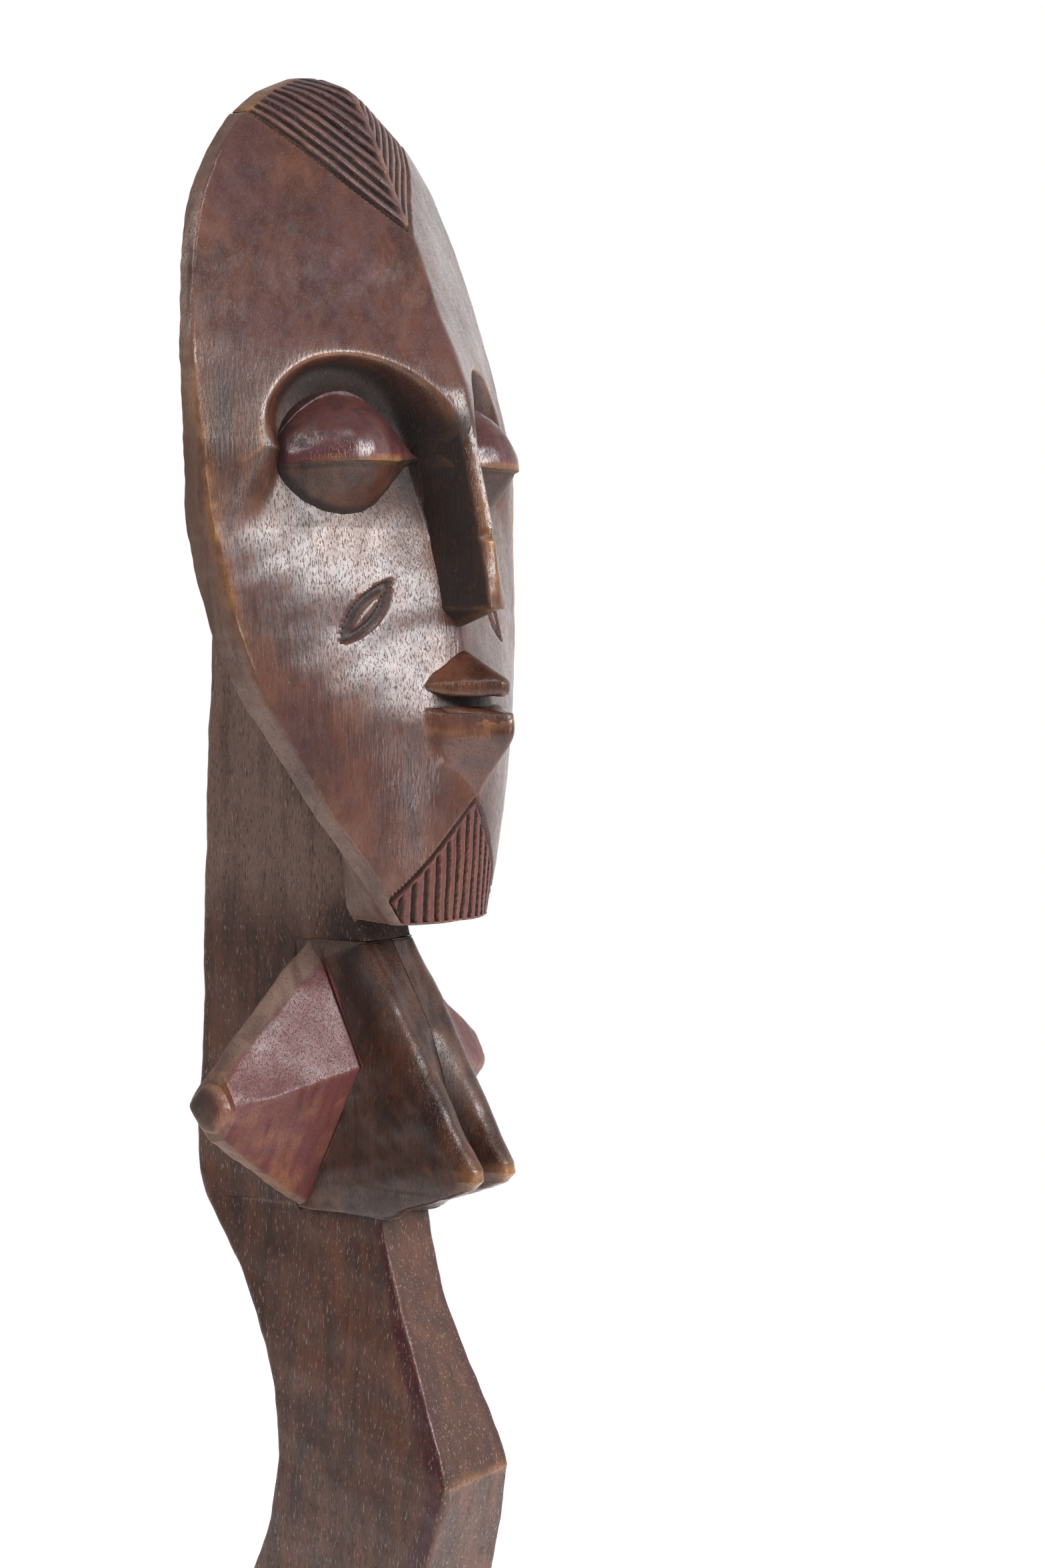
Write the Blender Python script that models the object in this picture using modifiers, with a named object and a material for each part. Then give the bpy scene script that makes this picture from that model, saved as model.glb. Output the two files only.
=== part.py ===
"""Carved ancestor figure: a standing plank figure with a large shield face, on a low block base.

Metres, +Z up. The figure looks along -Y, its right side is -X, and the origin is the middle of the
underside of the base.
"""

import math

import bmesh
import bpy
from mathutils import Vector

# Driving dimensions
HEIGHT = 0.6034
GAP = 0.0003
FRONT = -0.0566
BACK = 0.0566

BASE_HEIGHT = 0.018
BASE_HALF_WIDTH = 0.046
BASE_CORNER = 0.012
FOOT_TOP = 0.036
LEG_TOP = 0.128
LEG_INNER = 0.003
HIP_TOP = 0.150
CHEST_BOTTOM = 0.269
SHOULDER = 0.350
CHIN_BOTTOM = 0.3572

BACK_HALF_WIDTH = 0.0180
CHEST_HALF_WIDTH = 0.0155
ARM_TIP = 0.0600
NOSE_BOTTOM = 0.443
NOSE_TOP = 0.512
EYE_CENTRE = (0.0295, -0.0200, 0.4895)
EYE_SIZE = (0.0200, 0.0135, 0.0175)
EYE_SLANT = 0.40
SOCKET_CENTRE = (0.0295, -0.0255, 0.4950)
SOCKET_SIZE = (0.0262, 0.0130, 0.0240)
EDGE = 0.0012

# Where the middle of the face's front runs, without nose and lips: (height, y)
FACE_MIDDLE = [
    (0.3572, -0.0371), (0.3800, -0.0412), (0.3950, -0.0437), (0.4040, -0.0490),
    (0.4110, -0.0545), (0.4160, -0.0480), (0.4300, -0.0405), (0.4440, -0.0370),
    (0.4580, -0.0355), (0.4710, -0.0340), (0.4900, -0.0350), (0.5061, -0.0400),
    (0.5181, -0.0359), (0.5345, -0.0283), (0.5547, -0.0198), (0.5678, -0.0130),
    (0.5824, -0.0061), (0.5932, -0.0003), (0.5998, 0.0060), (0.6034, 0.0150),
]
# The face's outline: (height, half width, y of its front edge, depth of its rim)
FACE_EDGE = [
    (0.3572, 0.0185, -0.0322, 0.0050), (0.3713, 0.0269, -0.0287, 0.0055),
    (0.3869, 0.0372, -0.0236, 0.0060), (0.4044, 0.0465, -0.0186, 0.0070),
    (0.4201, 0.0555, -0.0128, 0.0085), (0.4393, 0.0602, -0.0096, 0.0110),
    (0.4557, 0.0644, -0.0063, 0.0105), (0.4689, 0.0662, -0.0046, 0.0100),
    (0.4940, 0.0685, -0.0030, 0.0066), (0.5046, 0.0677, 0.0000, 0.0048),
    (0.5224, 0.0659, 0.0039, 0.0036), (0.5427, 0.0602, 0.0076, 0.0046),
    (0.5633, 0.0539, 0.0110, 0.0050), (0.5766, 0.0455, 0.0121, 0.0050),
    (0.5878, 0.0353, 0.0131, 0.0048), (0.5970, 0.0215, 0.0150, 0.0060),
    (0.6034, 0.0060, 0.0180, 0.0050),
]
RIM_FLARE = 0.0012
FACE_BACK_LOW = -0.0085
FACE_BACK_HIGH = 0.0230

# The trunk's front and back edges: (height, y), and its half width along the front: (height, x)
TRUNK_FRONT = [
    (0.1500, -0.0330), (0.1712, -0.0382), (0.1835, -0.0415), (0.1945, -0.0437),
    (0.2039, -0.0406), (0.2247, -0.0308), (0.2409, -0.0239), (0.2616, -0.0173), (0.2690, -0.0158),
]
TRUNK_BACK = [
    (0.1500, 0.0343), (0.1570, 0.0302), (0.1660, 0.0259), (0.1750, 0.0228), (0.1840, 0.0210),
    (0.1920, 0.0204), (0.2000, 0.0206), (0.2160, 0.0230), (0.2320, 0.0278), (0.2470, 0.0352),
    (0.2620, 0.0452), (0.2690, 0.0496), (0.2760, 0.0524), (0.2840, 0.0532), (0.3100, 0.0515),
    (0.3590, 0.0495), (0.4080, 0.0473), (0.4450, 0.0457), (0.5000, 0.0438), (0.5400, 0.0408),
    (0.5700, 0.0358), (0.5860, 0.0303),
]
TRUNK_HALF_WIDTH = [
    (0.1500, 0.0175), (0.1712, 0.0167), (0.1945, 0.0151), (0.2039, 0.0143), (0.2132, 0.0132),
    (0.2247, 0.0117), (0.2507, 0.0107), (0.2690, 0.0105), (0.5860, 0.0100),
]
NECK_FRONT = [(0.3503, -0.0108), (0.3569, -0.0095)]
CHEST_BACK = 0.0120
TRUNK_TOP = 0.5860


def clear_scene():
    for obj in list(bpy.data.objects):
        bpy.data.objects.remove(obj, do_unlink=True)


def new_collection(name):
    collection = bpy.data.collections.new(name)
    bpy.context.scene.collection.children.link(collection)
    return collection


def wood(name, colour, roughness):
    """A plain finish for one sub-part."""
    material = bpy.data.materials.new(name)
    material.use_nodes = True
    shader = material.node_tree.nodes["Principled BSDF"]
    shader.inputs["Base Color"].default_value = (*colour, 1.0)
    shader.inputs["Roughness"].default_value = roughness
    shader.inputs["Metallic"].default_value = 0.0
    return material


def along(table, height, column=1):
    """The value that a table of (height, value, ...) rows gives at a height, on straight runs."""
    if height <= table[0][0]:
        return table[0][column]
    for low, high in zip(table, table[1:]):
        if height <= high[0]:
            share = (height - low[0]) / (high[0] - low[0])
            return low[column] + share * (high[column] - low[column])
    return table[-1][column]


def add_object(name, mesh, collection, material=None):
    obj = bpy.data.objects.new(name, mesh)
    collection.objects.link(obj)
    if material:
        mesh.materials.append(material)
    return obj


def mesh_from(bm, name):
    bmesh.ops.recalc_face_normals(bm, faces=bm.faces)
    mesh = bpy.data.meshes.new(name)
    bm.to_mesh(mesh)
    bm.free()
    return mesh


def loft(name, rings):
    """A closed mesh through rings of equal point counts, capped at both ends."""
    bm = bmesh.new()
    rows = [[bm.verts.new(point) for point in ring] for ring in rings]
    count = len(rows[0])
    for low, high in zip(rows, rows[1:]):
        for i in range(count):
            j = (i + 1) % count
            bm.faces.new((low[i], low[j], high[j], high[i]))
    bm.faces.new(rows[0])
    bm.faces.new(rows[-1])
    return mesh_from(bm, name)


def hull(name, points):
    """The closed faceted mesh around a set of points."""
    bm = bmesh.new()
    for point in points:
        bm.verts.new(point)
    result = bmesh.ops.convex_hull(bm, input=bm.verts)
    bmesh.ops.delete(bm, geom=result["geom_interior"], context="VERTS")
    return mesh_from(bm, name)


def prism(name, outline, y_front, y_back):
    """A prism whose outline of (x, z) points runs from y_front to y_back."""
    return loft(name, [[(x, y, z) for x, z in outline] for y in (y_front, y_back)])


def plank(name, outline, inner, outer):
    """A flat piece whose outline of (y, z) points is extruded from x = inner to x = outer."""
    curve = bpy.data.curves.new(name, "CURVE")
    curve.dimensions = "2D"
    curve.fill_mode = "BOTH"
    curve.extrude = abs(outer - inner) / 2
    spline = curve.splines.new("POLY")
    spline.points.add(len(outline) - 1)
    for point, (y, z) in zip(spline.points, outline):
        point.co = (y, z, 0.0, 1.0)
    spline.use_cyclic_u = True
    guide = bpy.data.objects.new(name, curve)
    bpy.context.scene.collection.objects.link(guide)
    bpy.context.view_layer.update()
    mesh = bpy.data.meshes.new_from_object(guide.evaluated_get(bpy.context.evaluated_depsgraph_get()))
    bpy.data.objects.remove(guide, do_unlink=True)
    middle = (inner + outer) / 2
    bm = bmesh.new()
    bm.from_mesh(mesh)
    bmesh.ops.remove_doubles(bm, verts=bm.verts, dist=1e-6)
    for vert in bm.verts:
        y, z, x = vert.co
        vert.co = (x + middle, y, z)
    bmesh.ops.dissolve_limit(bm, angle_limit=math.radians(0.5), verts=bm.verts, edges=bm.edges)
    return mesh_from(bm, name)


def mirrored(mesh, name):
    """The same mesh on the figure's other side."""
    copy = mesh.copy()
    copy.name = name
    bm = bmesh.new()
    bm.from_mesh(copy)
    for vert in bm.verts:
        vert.co.x = -vert.co.x
    bmesh.ops.reverse_faces(bm, faces=bm.faces)
    bm.to_mesh(copy)
    bm.free()
    return copy


def soften(obj, width=EDGE, angle=24):
    """Worn, slightly rounded edges."""
    bevel = obj.modifiers.new("Worn edges", "BEVEL")
    bevel.width = width
    bevel.segments = 1
    bevel.limit_method = "ANGLE"
    bevel.angle_limit = math.radians(angle)


def boolean(obj, cutter, operation="DIFFERENCE"):
    modifier = obj.modifiers.new(cutter.name, "BOOLEAN")
    modifier.operation = operation
    modifier.object = cutter
    modifier.solver = "EXACT"


def as_cutter(obj):
    obj.hide_render = True
    obj.display_type = "WIRE"


def pocket(obj, piece, cutters):
    """Cuts from obj the room that piece takes, with the gap all round."""
    graph = bpy.context.evaluated_depsgraph_get()
    mesh = bpy.data.meshes.new_from_object(piece.evaluated_get(graph))
    bm = bmesh.new()
    bm.from_mesh(mesh)
    bmesh.ops.remove_doubles(bm, verts=bm.verts, dist=1e-6)
    bm.normal_update()
    for vert in bm.verts:
        vert.co += vert.normal * (GAP * vert.calc_shell_factor())
    bm.to_mesh(mesh)
    bm.free()
    cutter = add_object(f"{piece.name} pocket", mesh, cutters)
    as_cutter(cutter)
    boolean(obj, cutter)


# The base, feet and legs


def make_base(parts):
    bpy.ops.mesh.primitive_cube_add(size=1.0)
    base = bpy.context.object
    base.name = base.data.name = "base"
    for vert in base.data.vertices:
        vert.co.x *= 2 * BASE_HALF_WIDTH
        vert.co.y *= BACK - FRONT
        vert.co.z = BASE_HEIGHT * (vert.co.z + 0.5)
    base.data.materials.append(wood("base wood", (0.10, 0.055, 0.035), 0.55))
    for held in list(base.users_collection):
        held.objects.unlink(base)
    parts.objects.link(base)
    upright = [
        edge for edge in base.data.edges
        if abs(base.data.vertices[edge.vertices[0]].co.z - base.data.vertices[edge.vertices[1]].co.z) > 0.01
    ]
    weight = base.data.attributes.new("bevel_weight_edge", "FLOAT", "EDGE")
    for edge in upright:
        weight.data[edge.index].value = 1.0
    corners = base.modifiers.new("Round corners", "BEVEL")
    corners.limit_method = "WEIGHT"
    corners.width = BASE_CORNER
    corners.segments = 5
    soften(base, 0.0015, 50)


def make_feet(parts):
    """Block feet whose tops slope down to the toes."""
    inner, outer = LEG_INNER, 0.0235
    low = BASE_HEIGHT + GAP
    points = []
    for x, pull in ((inner, 0.0), (outer, 0.003)):
        points += [
            (x, -0.043 + pull, low), (x, -0.044 + pull, low + 0.006), (x, -0.012, FOOT_TOP),
            (x, 0.021, FOOT_TOP), (x, 0.024 - pull, low),
        ]
    right = hull("left_foot", points)
    finish = wood("foot wood", (0.11, 0.060, 0.038), 0.50)
    soften(add_object("left_foot", right, parts, finish))
    soften(add_object("right_foot", mirrored(right, "right_foot"), parts, finish))


def make_legs(parts):
    """Short flexed legs: the knee comes forward and the calf swells behind."""
    low = FOOT_TOP + GAP
    outline = [
        (-0.0115, low), (-0.0150, 0.0480), (-0.0250, 0.0640), (-0.0335, 0.0800), (-0.0330, 0.0880),
        (-0.0250, 0.1060), (-0.0205, LEG_TOP), (0.0430, LEG_TOP), (0.0405, 0.1160),
        (0.0200, 0.0980), (0.0100, 0.0850), (0.0130, 0.0740), (0.0235, 0.0600), (0.0260, 0.0520),
        (0.0200, low),
    ]
    mesh = plank("left_leg", outline, LEG_INNER, 0.0190)
    finish = wood("leg wood", (0.11, 0.060, 0.038), 0.50)
    soften(add_object("left_leg", mesh, parts, finish))
    soften(add_object("right_leg", mirrored(mesh, "right_leg"), parts, finish))


# The trunk


def half_width(height, y):
    """The trunk's half width: it widens from its front edge to its back edge."""
    front, back = along(TRUNK_FRONT, height), along(TRUNK_BACK, height)
    share = (y - front) / (back - front)
    narrow = along(TRUNK_HALF_WIDTH, height)
    wide = max(BACK_HALF_WIDTH, narrow + 0.002)
    return narrow + (wide - narrow) * min(max(share, 0.0), 1.0)


def face_back(height):
    """Where the flat back of the face lies."""
    share = (height - CHIN_BOTTOM) / (HEIGHT - CHIN_BOTTOM)
    return FACE_BACK_LOW + share * (FACE_BACK_HIGH - FACE_BACK_LOW)


def make_trunk(parts):
    """The plank that runs from the hips up behind the face, set back behind the chest."""
    behind = CHEST_BACK + GAP
    outline = [(y, z) for z, y in TRUNK_FRONT]
    outline += [(behind, CHEST_BOTTOM), (behind, SHOULDER + GAP)]
    outline += [(y, z) for z, y in NECK_FRONT]
    outline += [(face_back(z) + GAP, z) for z in (CHIN_BOTTOM, TRUNK_TOP)]
    outline += [(y, z) for z, y in reversed(TRUNK_BACK)]
    bm = bmesh.new()
    bm.from_mesh(plank("trunk", outline, -BACK_HALF_WIDTH, BACK_HALF_WIDTH))
    for height in sorted({row[0] for row in TRUNK_FRONT + TRUNK_BACK + TRUNK_HALF_WIDTH})[1:-1]:
        geometry = bm.verts[:] + bm.edges[:] + bm.faces[:]
        bmesh.ops.bisect_plane(bm, geom=geometry, dist=1e-6, plane_co=(0, 0, height), plane_no=(0, 0, 1))
    for vert in bm.verts:
        vert.co.x = math.copysign(half_width(vert.co.z, vert.co.y), vert.co.x)
    add_object("trunk", mesh_from(bm, "trunk"), parts, wood("trunk wood", (0.105, 0.055, 0.036), 0.55))


def make_hips(parts):
    """The seat of the figure: the belly runs in below, and the buttocks stand out behind."""
    rows = [
        (LEG_TOP + GAP, -0.0215, 0.0435, 0.0190), (0.1350, -0.0260, 0.0450, 0.0192),
        (0.1430, -0.0300, 0.0395, 0.0188), (HIP_TOP - GAP, -0.0330, 0.0325, 0.0175),
    ]
    rings = [
        [(-wide, front, z), (wide, front, z), (wide + 0.001, back, z), (-wide - 0.001, back, z)]
        for z, front, back, wide in rows
    ]
    finish = wood("hip wood", (0.105, 0.056, 0.036), 0.50)
    soften(add_object("hips", loft("hips", rings), parts, finish))


# Chest and arms


def make_chest(parts):
    """Two breasts with long ridges from the throat to the tips, parted by a valley."""
    rows = [
        # height, valley, ridge x, ridge y, side x, side y
        (CHEST_BOTTOM + GAP, -0.0160, 0.0100, -0.0200, 0.0125, -0.0165),
        (0.2730, -0.0200, 0.0095, -0.0270, 0.0140, -0.0190),
        (0.2790, -0.0260, 0.0085, -0.0430, 0.0150, -0.0190),
        (0.2830, -0.0300, 0.0081, -0.0505, 0.0152, -0.0185),
        (0.2880, -0.0330, 0.0082, -0.0490, 0.0155, -0.0180),
        (0.3050, -0.0310, 0.0086, -0.0385, 0.0155, -0.0160),
        (0.3250, -0.0244, 0.0090, -0.0265, 0.0135, -0.0110),
        (0.3400, -0.0165, 0.0093, -0.0175, 0.0115, -0.0090),
        (SHOULDER, -0.0112, 0.0094, -0.0115, 0.0105, -0.0095),
    ]
    inner = GAP / 2
    rings = []
    for z, valley, ridge_x, ridge_y, side_x, side_y in rows:
        rings.append([
            (inner, valley, z), (ridge_x, ridge_y, z), (side_x, side_y, z),
            (CHEST_HALF_WIDTH, CHEST_BACK, z), (inner, CHEST_BACK, z),
        ])
    mesh = loft("left_breast", rings)
    finish = wood("chest wood", (0.085, 0.047, 0.032), 0.35)
    soften(add_object("left_breast", mesh, parts, finish), 0.0008, 30)
    soften(add_object("right_breast", mirrored(mesh, "right_breast"), parts, finish), 0.0008, 30)


def make_arms(parts):
    """Short arms, each a four-sided pyramid cut off at its tip."""
    root = CHEST_HALF_WIDTH + 0.0022
    base = [
        (-0.0130, 0.3138), (0.0020, 0.3440), (0.0065, 0.3495), (0.0290, 0.3300), (0.0320, 0.3080),
        (0.0240, 0.2800), (0.0125, 0.2700), (0.0095, 0.2716),
    ]
    tip_y, tip_z, tip_half = 0.0075, 0.3052, 0.0082
    tip = [
        (tip_y + tip_half * math.cos(turn), tip_z + tip_half * math.sin(turn))
        for turn in (i * math.pi / 4 for i in range(8))
    ]
    points = [(root, y, z) for y, z in base] + [(ARM_TIP, y, z) for y, z in tip]
    mesh = hull("left_arm", points)
    finish = wood("arm pigment", (0.16, 0.060, 0.052), 0.38)
    soften(add_object("left_arm", mesh, parts, finish))
    soften(add_object("right_arm", mirrored(mesh, "right_arm"), parts, finish))


# The head


def face_front(x, height):
    """The face's front surface, without eyes, nose and lips."""
    middle = along(FACE_MIDDLE, height)
    half, edge = along(FACE_EDGE, height), along(FACE_EDGE, height, 2)
    roundness = 1.0 + 0.35 * min(max((0.47 - height) / 0.06, 0.0), 1.0)
    return middle + (edge - middle) * min(abs(x) / half, 1.0) ** roundness


def face_ring(height):
    half, edge, rim = (along(FACE_EDGE, height, column) for column in (1, 2, 3))
    back = face_back(height)
    steps = (0.0, 0.14, 0.30, 0.50, 0.72, 1.0)
    right = [(half * s, face_front(half * s, height), height) for s in steps]
    flat = min(0.0165, 0.8 * half)
    side = [(half + RIM_FLARE, min(edge + rim, back), height), (flat, back, height)]
    ring = right + side
    return ring + [(-x, y, z) for x, y, z in reversed(ring[1:])]


def make_face(parts, cutters):
    """The shield face, with the eye sockets and the two cheek scars cut into it."""
    heights = sorted({row[0] for row in FACE_MIDDLE + FACE_EDGE})
    face = add_object("face", loft("face", [face_ring(z) for z in heights]), parts)
    face.data.materials.append(wood("face wood", (0.12, 0.065, 0.045), 0.32))
    for side in (-1, 1):
        bpy.ops.mesh.primitive_uv_sphere_add(segments=28, ring_count=16, radius=1.0)
        socket = bpy.context.object
        socket.name = "right socket" if side < 0 else "left socket"
        for vert in socket.data.vertices:
            for axis in range(3):
                centre = SOCKET_CENTRE[axis] * (side if axis == 0 else 1)
                vert.co[axis] = centre + SOCKET_SIZE[axis] * vert.co[axis]
        for held in list(socket.users_collection):
            held.objects.unlink(socket)
        cutters.objects.link(socket)
        as_cutter(socket)
        boolean(face, socket)
        scar = add_object("scar", scar_mesh(side), cutters)
        as_cutter(scar)
        boolean(face, scar)
    return face


def scar_mesh(side):
    """A lens-shaped groove that slants down and out over the cheek."""
    top, bottom = Vector((0.0199, 0.0, 0.4555)), Vector((0.0345, 0.0, 0.4373))
    middle, reach = (top + bottom) / 2, (top - bottom) / 2
    across = Vector((reach.z, 0.0, -reach.x)).normalized() * 0.0028
    rings = []
    for depth, swell in ((0.006, 1.15), (-0.0012, 0.35)):
        ring = []
        for step in range(16):
            turn = step * math.pi / 8
            spot = middle + reach * math.cos(turn) * (0.7 + 0.3 * swell) + across * math.sin(turn) * swell
            ring.append((side * spot.x, face_front(spot.x, spot.z) - depth, spot.z))
        rings.append(ring)
    return loft("scar", rings)


def make_eyes(parts):
    """Swelling closed eyes, each with a crease where the lids meet."""
    finish = wood("eye wood", (0.13, 0.058, 0.052), 0.28)
    eyes = []
    for side, name in ((-1, "right_eye"), (1, "left_eye")):
        bpy.ops.mesh.primitive_uv_sphere_add(segments=28, ring_count=18, radius=1.0)
        eye = bpy.context.object
        eye.name = eye.data.name = name
        for vert in eye.data.vertices:
            x, y, z = vert.co
            swell = 1.0 - 0.22 * math.sqrt(abs(z))
            vert.co = (
                side * (EYE_CENTRE[0] + EYE_SIZE[0] * x),
                EYE_CENTRE[1] + EYE_SIZE[1] * y * swell + EYE_SLANT * EYE_SIZE[0] * x,
                EYE_CENTRE[2] + EYE_SIZE[2] * z,
            )
        bm = bmesh.new()
        bm.from_mesh(eye.data)
        bmesh.ops.recalc_face_normals(bm, faces=bm.faces)
        bm.to_mesh(eye.data)
        bm.free()
        eye.data.materials.append(finish)
        for held in list(eye.users_collection):
            held.objects.unlink(eye)
        parts.objects.link(eye)
        eyes.append(eye)
    return eyes


def make_nose(parts):
    """A long narrow nose with upright side walls and a flat slanted underside."""
    rows = [
        # height, front y, front half width, back half width
        (NOSE_BOTTOM, -0.0375, 0.0012, 0.0030), (0.4478, -0.0518, 0.0034, 0.0063),
        (0.4683, -0.0490, 0.0030, 0.0058), (0.4894, -0.0444, 0.0026, 0.0052),
        (0.5061, -0.0410, 0.0050, 0.0085), (NOSE_TOP, -0.0388, 0.0040, 0.0110),
    ]
    rings = [
        [(-front, y, z), (0.0, y - 0.0006, z), (front, y, z), (back, -0.024, z), (-back, -0.024, z)]
        for z, y, front, back in rows
    ]
    nose = add_object("nose", loft("nose", rings), parts, wood("nose wood", (0.14, 0.068, 0.042), 0.34))
    soften(nose, 0.0006, 40)
    return nose


def make_lips(parts):
    """An upper lip like a low peak under the nose, and a thin lower lip that leads to the chin."""
    finish = wood("lip wood", (0.12, 0.066, 0.048), 0.34)
    upper = hull("upper_lip", [
        (0.0, -0.0385, 0.4375), (0.0, -0.0552, 0.4270), (0.0, -0.0535, 0.4205),
        (-0.0080, -0.0480, 0.4262), (0.0080, -0.0480, 0.4262),
        (-0.0165, -0.0345, 0.4250), (0.0165, -0.0345, 0.4250),
        (-0.0120, -0.0400, 0.4205), (0.0120, -0.0400, 0.4205),
        (-0.0130, -0.0290, 0.4300), (0.0130, -0.0290, 0.4300), (0.0, -0.0290, 0.4370),
        (-0.0130, -0.0290, 0.4212), (0.0130, -0.0290, 0.4212),
    ])
    lower = hull("lower_lip", [
        (0.0, -0.0535, 0.4180), (0.0, -0.0566, 0.4150), (0.0, -0.0564, 0.4115),
        (-0.0070, -0.0515, 0.4145), (0.0070, -0.0515, 0.4145),
        (-0.0125, -0.0400, 0.4185), (0.0125, -0.0400, 0.4185),
        (-0.0130, -0.0400, 0.4120), (0.0130, -0.0400, 0.4120),
        (-0.0100, -0.0300, 0.4180), (0.0100, -0.0300, 0.4180),
        (-0.0100, -0.0300, 0.4120), (0.0100, -0.0300, 0.4120),
    ])
    pieces = [add_object("upper_lip", upper, parts, finish), add_object("lower_lip", lower, parts, finish)]
    for piece in pieces:
        soften(piece, 0.0005, 40)
    return pieces


def split_off(name, source, outline, y_front, y_back, parts, cutters, finish):
    """The share of source that lies inside an (x, z) outline, as a piece of its own."""
    piece = add_object(name, source.data.copy(), parts)
    piece.data.materials.clear()
    piece.data.materials.append(finish)
    inside = add_object(f"{name} outline", prism(name, outline, y_front, y_back), cutters)
    as_cutter(inside)
    boolean(piece, inside, "INTERSECT")
    middle = sum((Vector((x, 0.0, z)) for x, z in outline), Vector()) / len(outline)
    grown = []
    for x, z in outline:
        away = (Vector((x, 0.0, z)) - middle).normalized() * GAP * 1.6
        grown.append((x + away.x, z + away.z))
    room = add_object(f"{name} room", prism(name, grown, y_front - GAP, y_back + GAP), cutters)
    as_cutter(room)
    boolean(source, room)
    return piece


def main():
    clear_scene()
    parts = new_collection("Ancestor figure")
    cutters = new_collection("Cutters")
    make_base(parts)
    make_feet(parts)
    make_legs(parts)
    make_hips(parts)
    make_trunk(parts)
    make_chest(parts)
    make_arms(parts)
    face = make_face(parts, cutters)
    inlays = make_eyes(parts) + [make_nose(parts)] + make_lips(parts)
    for piece in inlays:
        pocket(face, piece, cutters)
    coiffure = [(0.0, 0.5547), (0.046, 0.6010), (0.046, 0.620), (-0.046, 0.620), (-0.046, 0.6010)]
    beard = [(0.0, 0.3947), (0.0226, 0.3656), (0.0160, 0.3500), (-0.0160, 0.3500), (-0.0226, 0.3656)]
    hair = wood("coiffure pigment", (0.10, 0.045, 0.050), 0.45)
    split_off("coiffure", face, coiffure, -0.080, 0.080, parts, cutters, hair)
    split_off("beard", face, beard, -0.080, -0.030, parts, cutters, wood("beard pigment", (0.14, 0.060, 0.058), 0.45))


main()
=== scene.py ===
"""Carved ancestor figure: finished surfaces, finishes, floor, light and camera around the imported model."""

import math

import bmesh
import bpy
import numpy as np
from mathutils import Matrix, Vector


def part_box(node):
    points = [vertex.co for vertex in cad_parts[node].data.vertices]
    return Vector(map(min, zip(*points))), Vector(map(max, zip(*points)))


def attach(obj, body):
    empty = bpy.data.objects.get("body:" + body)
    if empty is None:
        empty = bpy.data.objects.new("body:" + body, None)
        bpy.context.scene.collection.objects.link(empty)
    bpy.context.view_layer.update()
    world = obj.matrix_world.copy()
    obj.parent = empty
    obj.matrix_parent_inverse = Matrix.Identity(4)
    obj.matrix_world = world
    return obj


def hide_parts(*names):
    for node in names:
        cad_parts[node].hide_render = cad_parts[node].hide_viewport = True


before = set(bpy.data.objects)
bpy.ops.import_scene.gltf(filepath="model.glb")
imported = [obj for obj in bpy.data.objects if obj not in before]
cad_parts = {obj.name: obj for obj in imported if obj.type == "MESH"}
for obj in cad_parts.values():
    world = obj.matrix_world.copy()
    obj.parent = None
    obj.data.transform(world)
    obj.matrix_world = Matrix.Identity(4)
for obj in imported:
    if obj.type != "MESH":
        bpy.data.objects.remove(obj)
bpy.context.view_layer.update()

bl_info = {
    "name": "Carved ancestor figure",
    "version": (1, 0, 0),
    "blender": (4, 5, 0),
    "location": "3D View > Sidebar > Ancestor figure",
    "description": "Carves a standing ancestor figure, and sets its floor, light and camera",
    "category": "Add Mesh",
}

# Lengths in the tables below are millimetres in the model's frame.
MM = 0.001
BODY = "root"
SIDES = {"right": -1, "left": 1}


def box_mm(node):
    """A CAD node's lowest and highest corners, in millimetres."""
    low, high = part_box(node)
    return np.array(low) / MM, np.array(high) / MM


CHIN_Z = box_mm("face")[0][2]
TOP_Z = box_mm("coiffure")[1][2]
TRUNK_LOW, TRUNK_HIGH = box_mm("trunk")
CHEST_LOW, CHEST_HIGH = box_mm("left_breast")

# The middle of the brow and nose ridge: (height, y)
RIDGE = [
    (430.0, -55.0), (447.8, -51.2), (468.3, -48.9), (489.4, -44.6), (506.1, -40.6), (518.1, -35.9),
    (534.5, -28.3), (554.7, -19.8), (567.8, -13.0), (582.4, -6.1), (593.2, -0.3), (599.8, 6.0), (603.4, 15.0),
]
# The middle of the cheeks, mouth ground and chin: (height, y)
GROUND = [
    (357.2, -37.1), (380.0, -41.2), (395.0, -43.4), (404.0, -43.6), (412.0, -43.0), (420.0, -41.8),
    (428.0, -40.2), (436.0, -38.6), (442.0, -37.4), (448.0, -36.8), (458.0, -35.0), (471.0, -30.8),
    (482.0, -26.6), (490.0, -24.6), (498.0, -24.8), (505.0, -26.5), (512.0, -29.0), (520.0, -32.0),
]
# The face's outline: (height, half width, y of its front edge, depth of its rim)
OUTLINE = [
    (357.2, 18.5, -32.2, 5.0), (371.3, 26.9, -28.7, 5.5), (386.9, 37.2, -23.6, 6.0), (404.4, 46.5, -18.6, 7.0),
    (420.1, 54.5, -13.6, 8.5), (439.3, 60.6, -9.6, 10.5), (455.7, 64.4, -6.3, 10.5), (468.9, 66.4, -4.6, 9.6),
    (494.0, 68.3, -2.4, 6.6), (504.6, 67.7, 0.0, 5.0), (522.4, 65.6, 3.7, 4.0), (542.7, 60.6, 7.6, 4.5),
    (563.3, 53.4, 10.9, 5.0), (576.6, 45.8, 12.1, 5.0), (587.8, 35.3, 13.3, 4.9), (597.0, 21.5, 15.0, 5.6),
    (603.4, 6.0, 18.0, 5.0),
]
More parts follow.
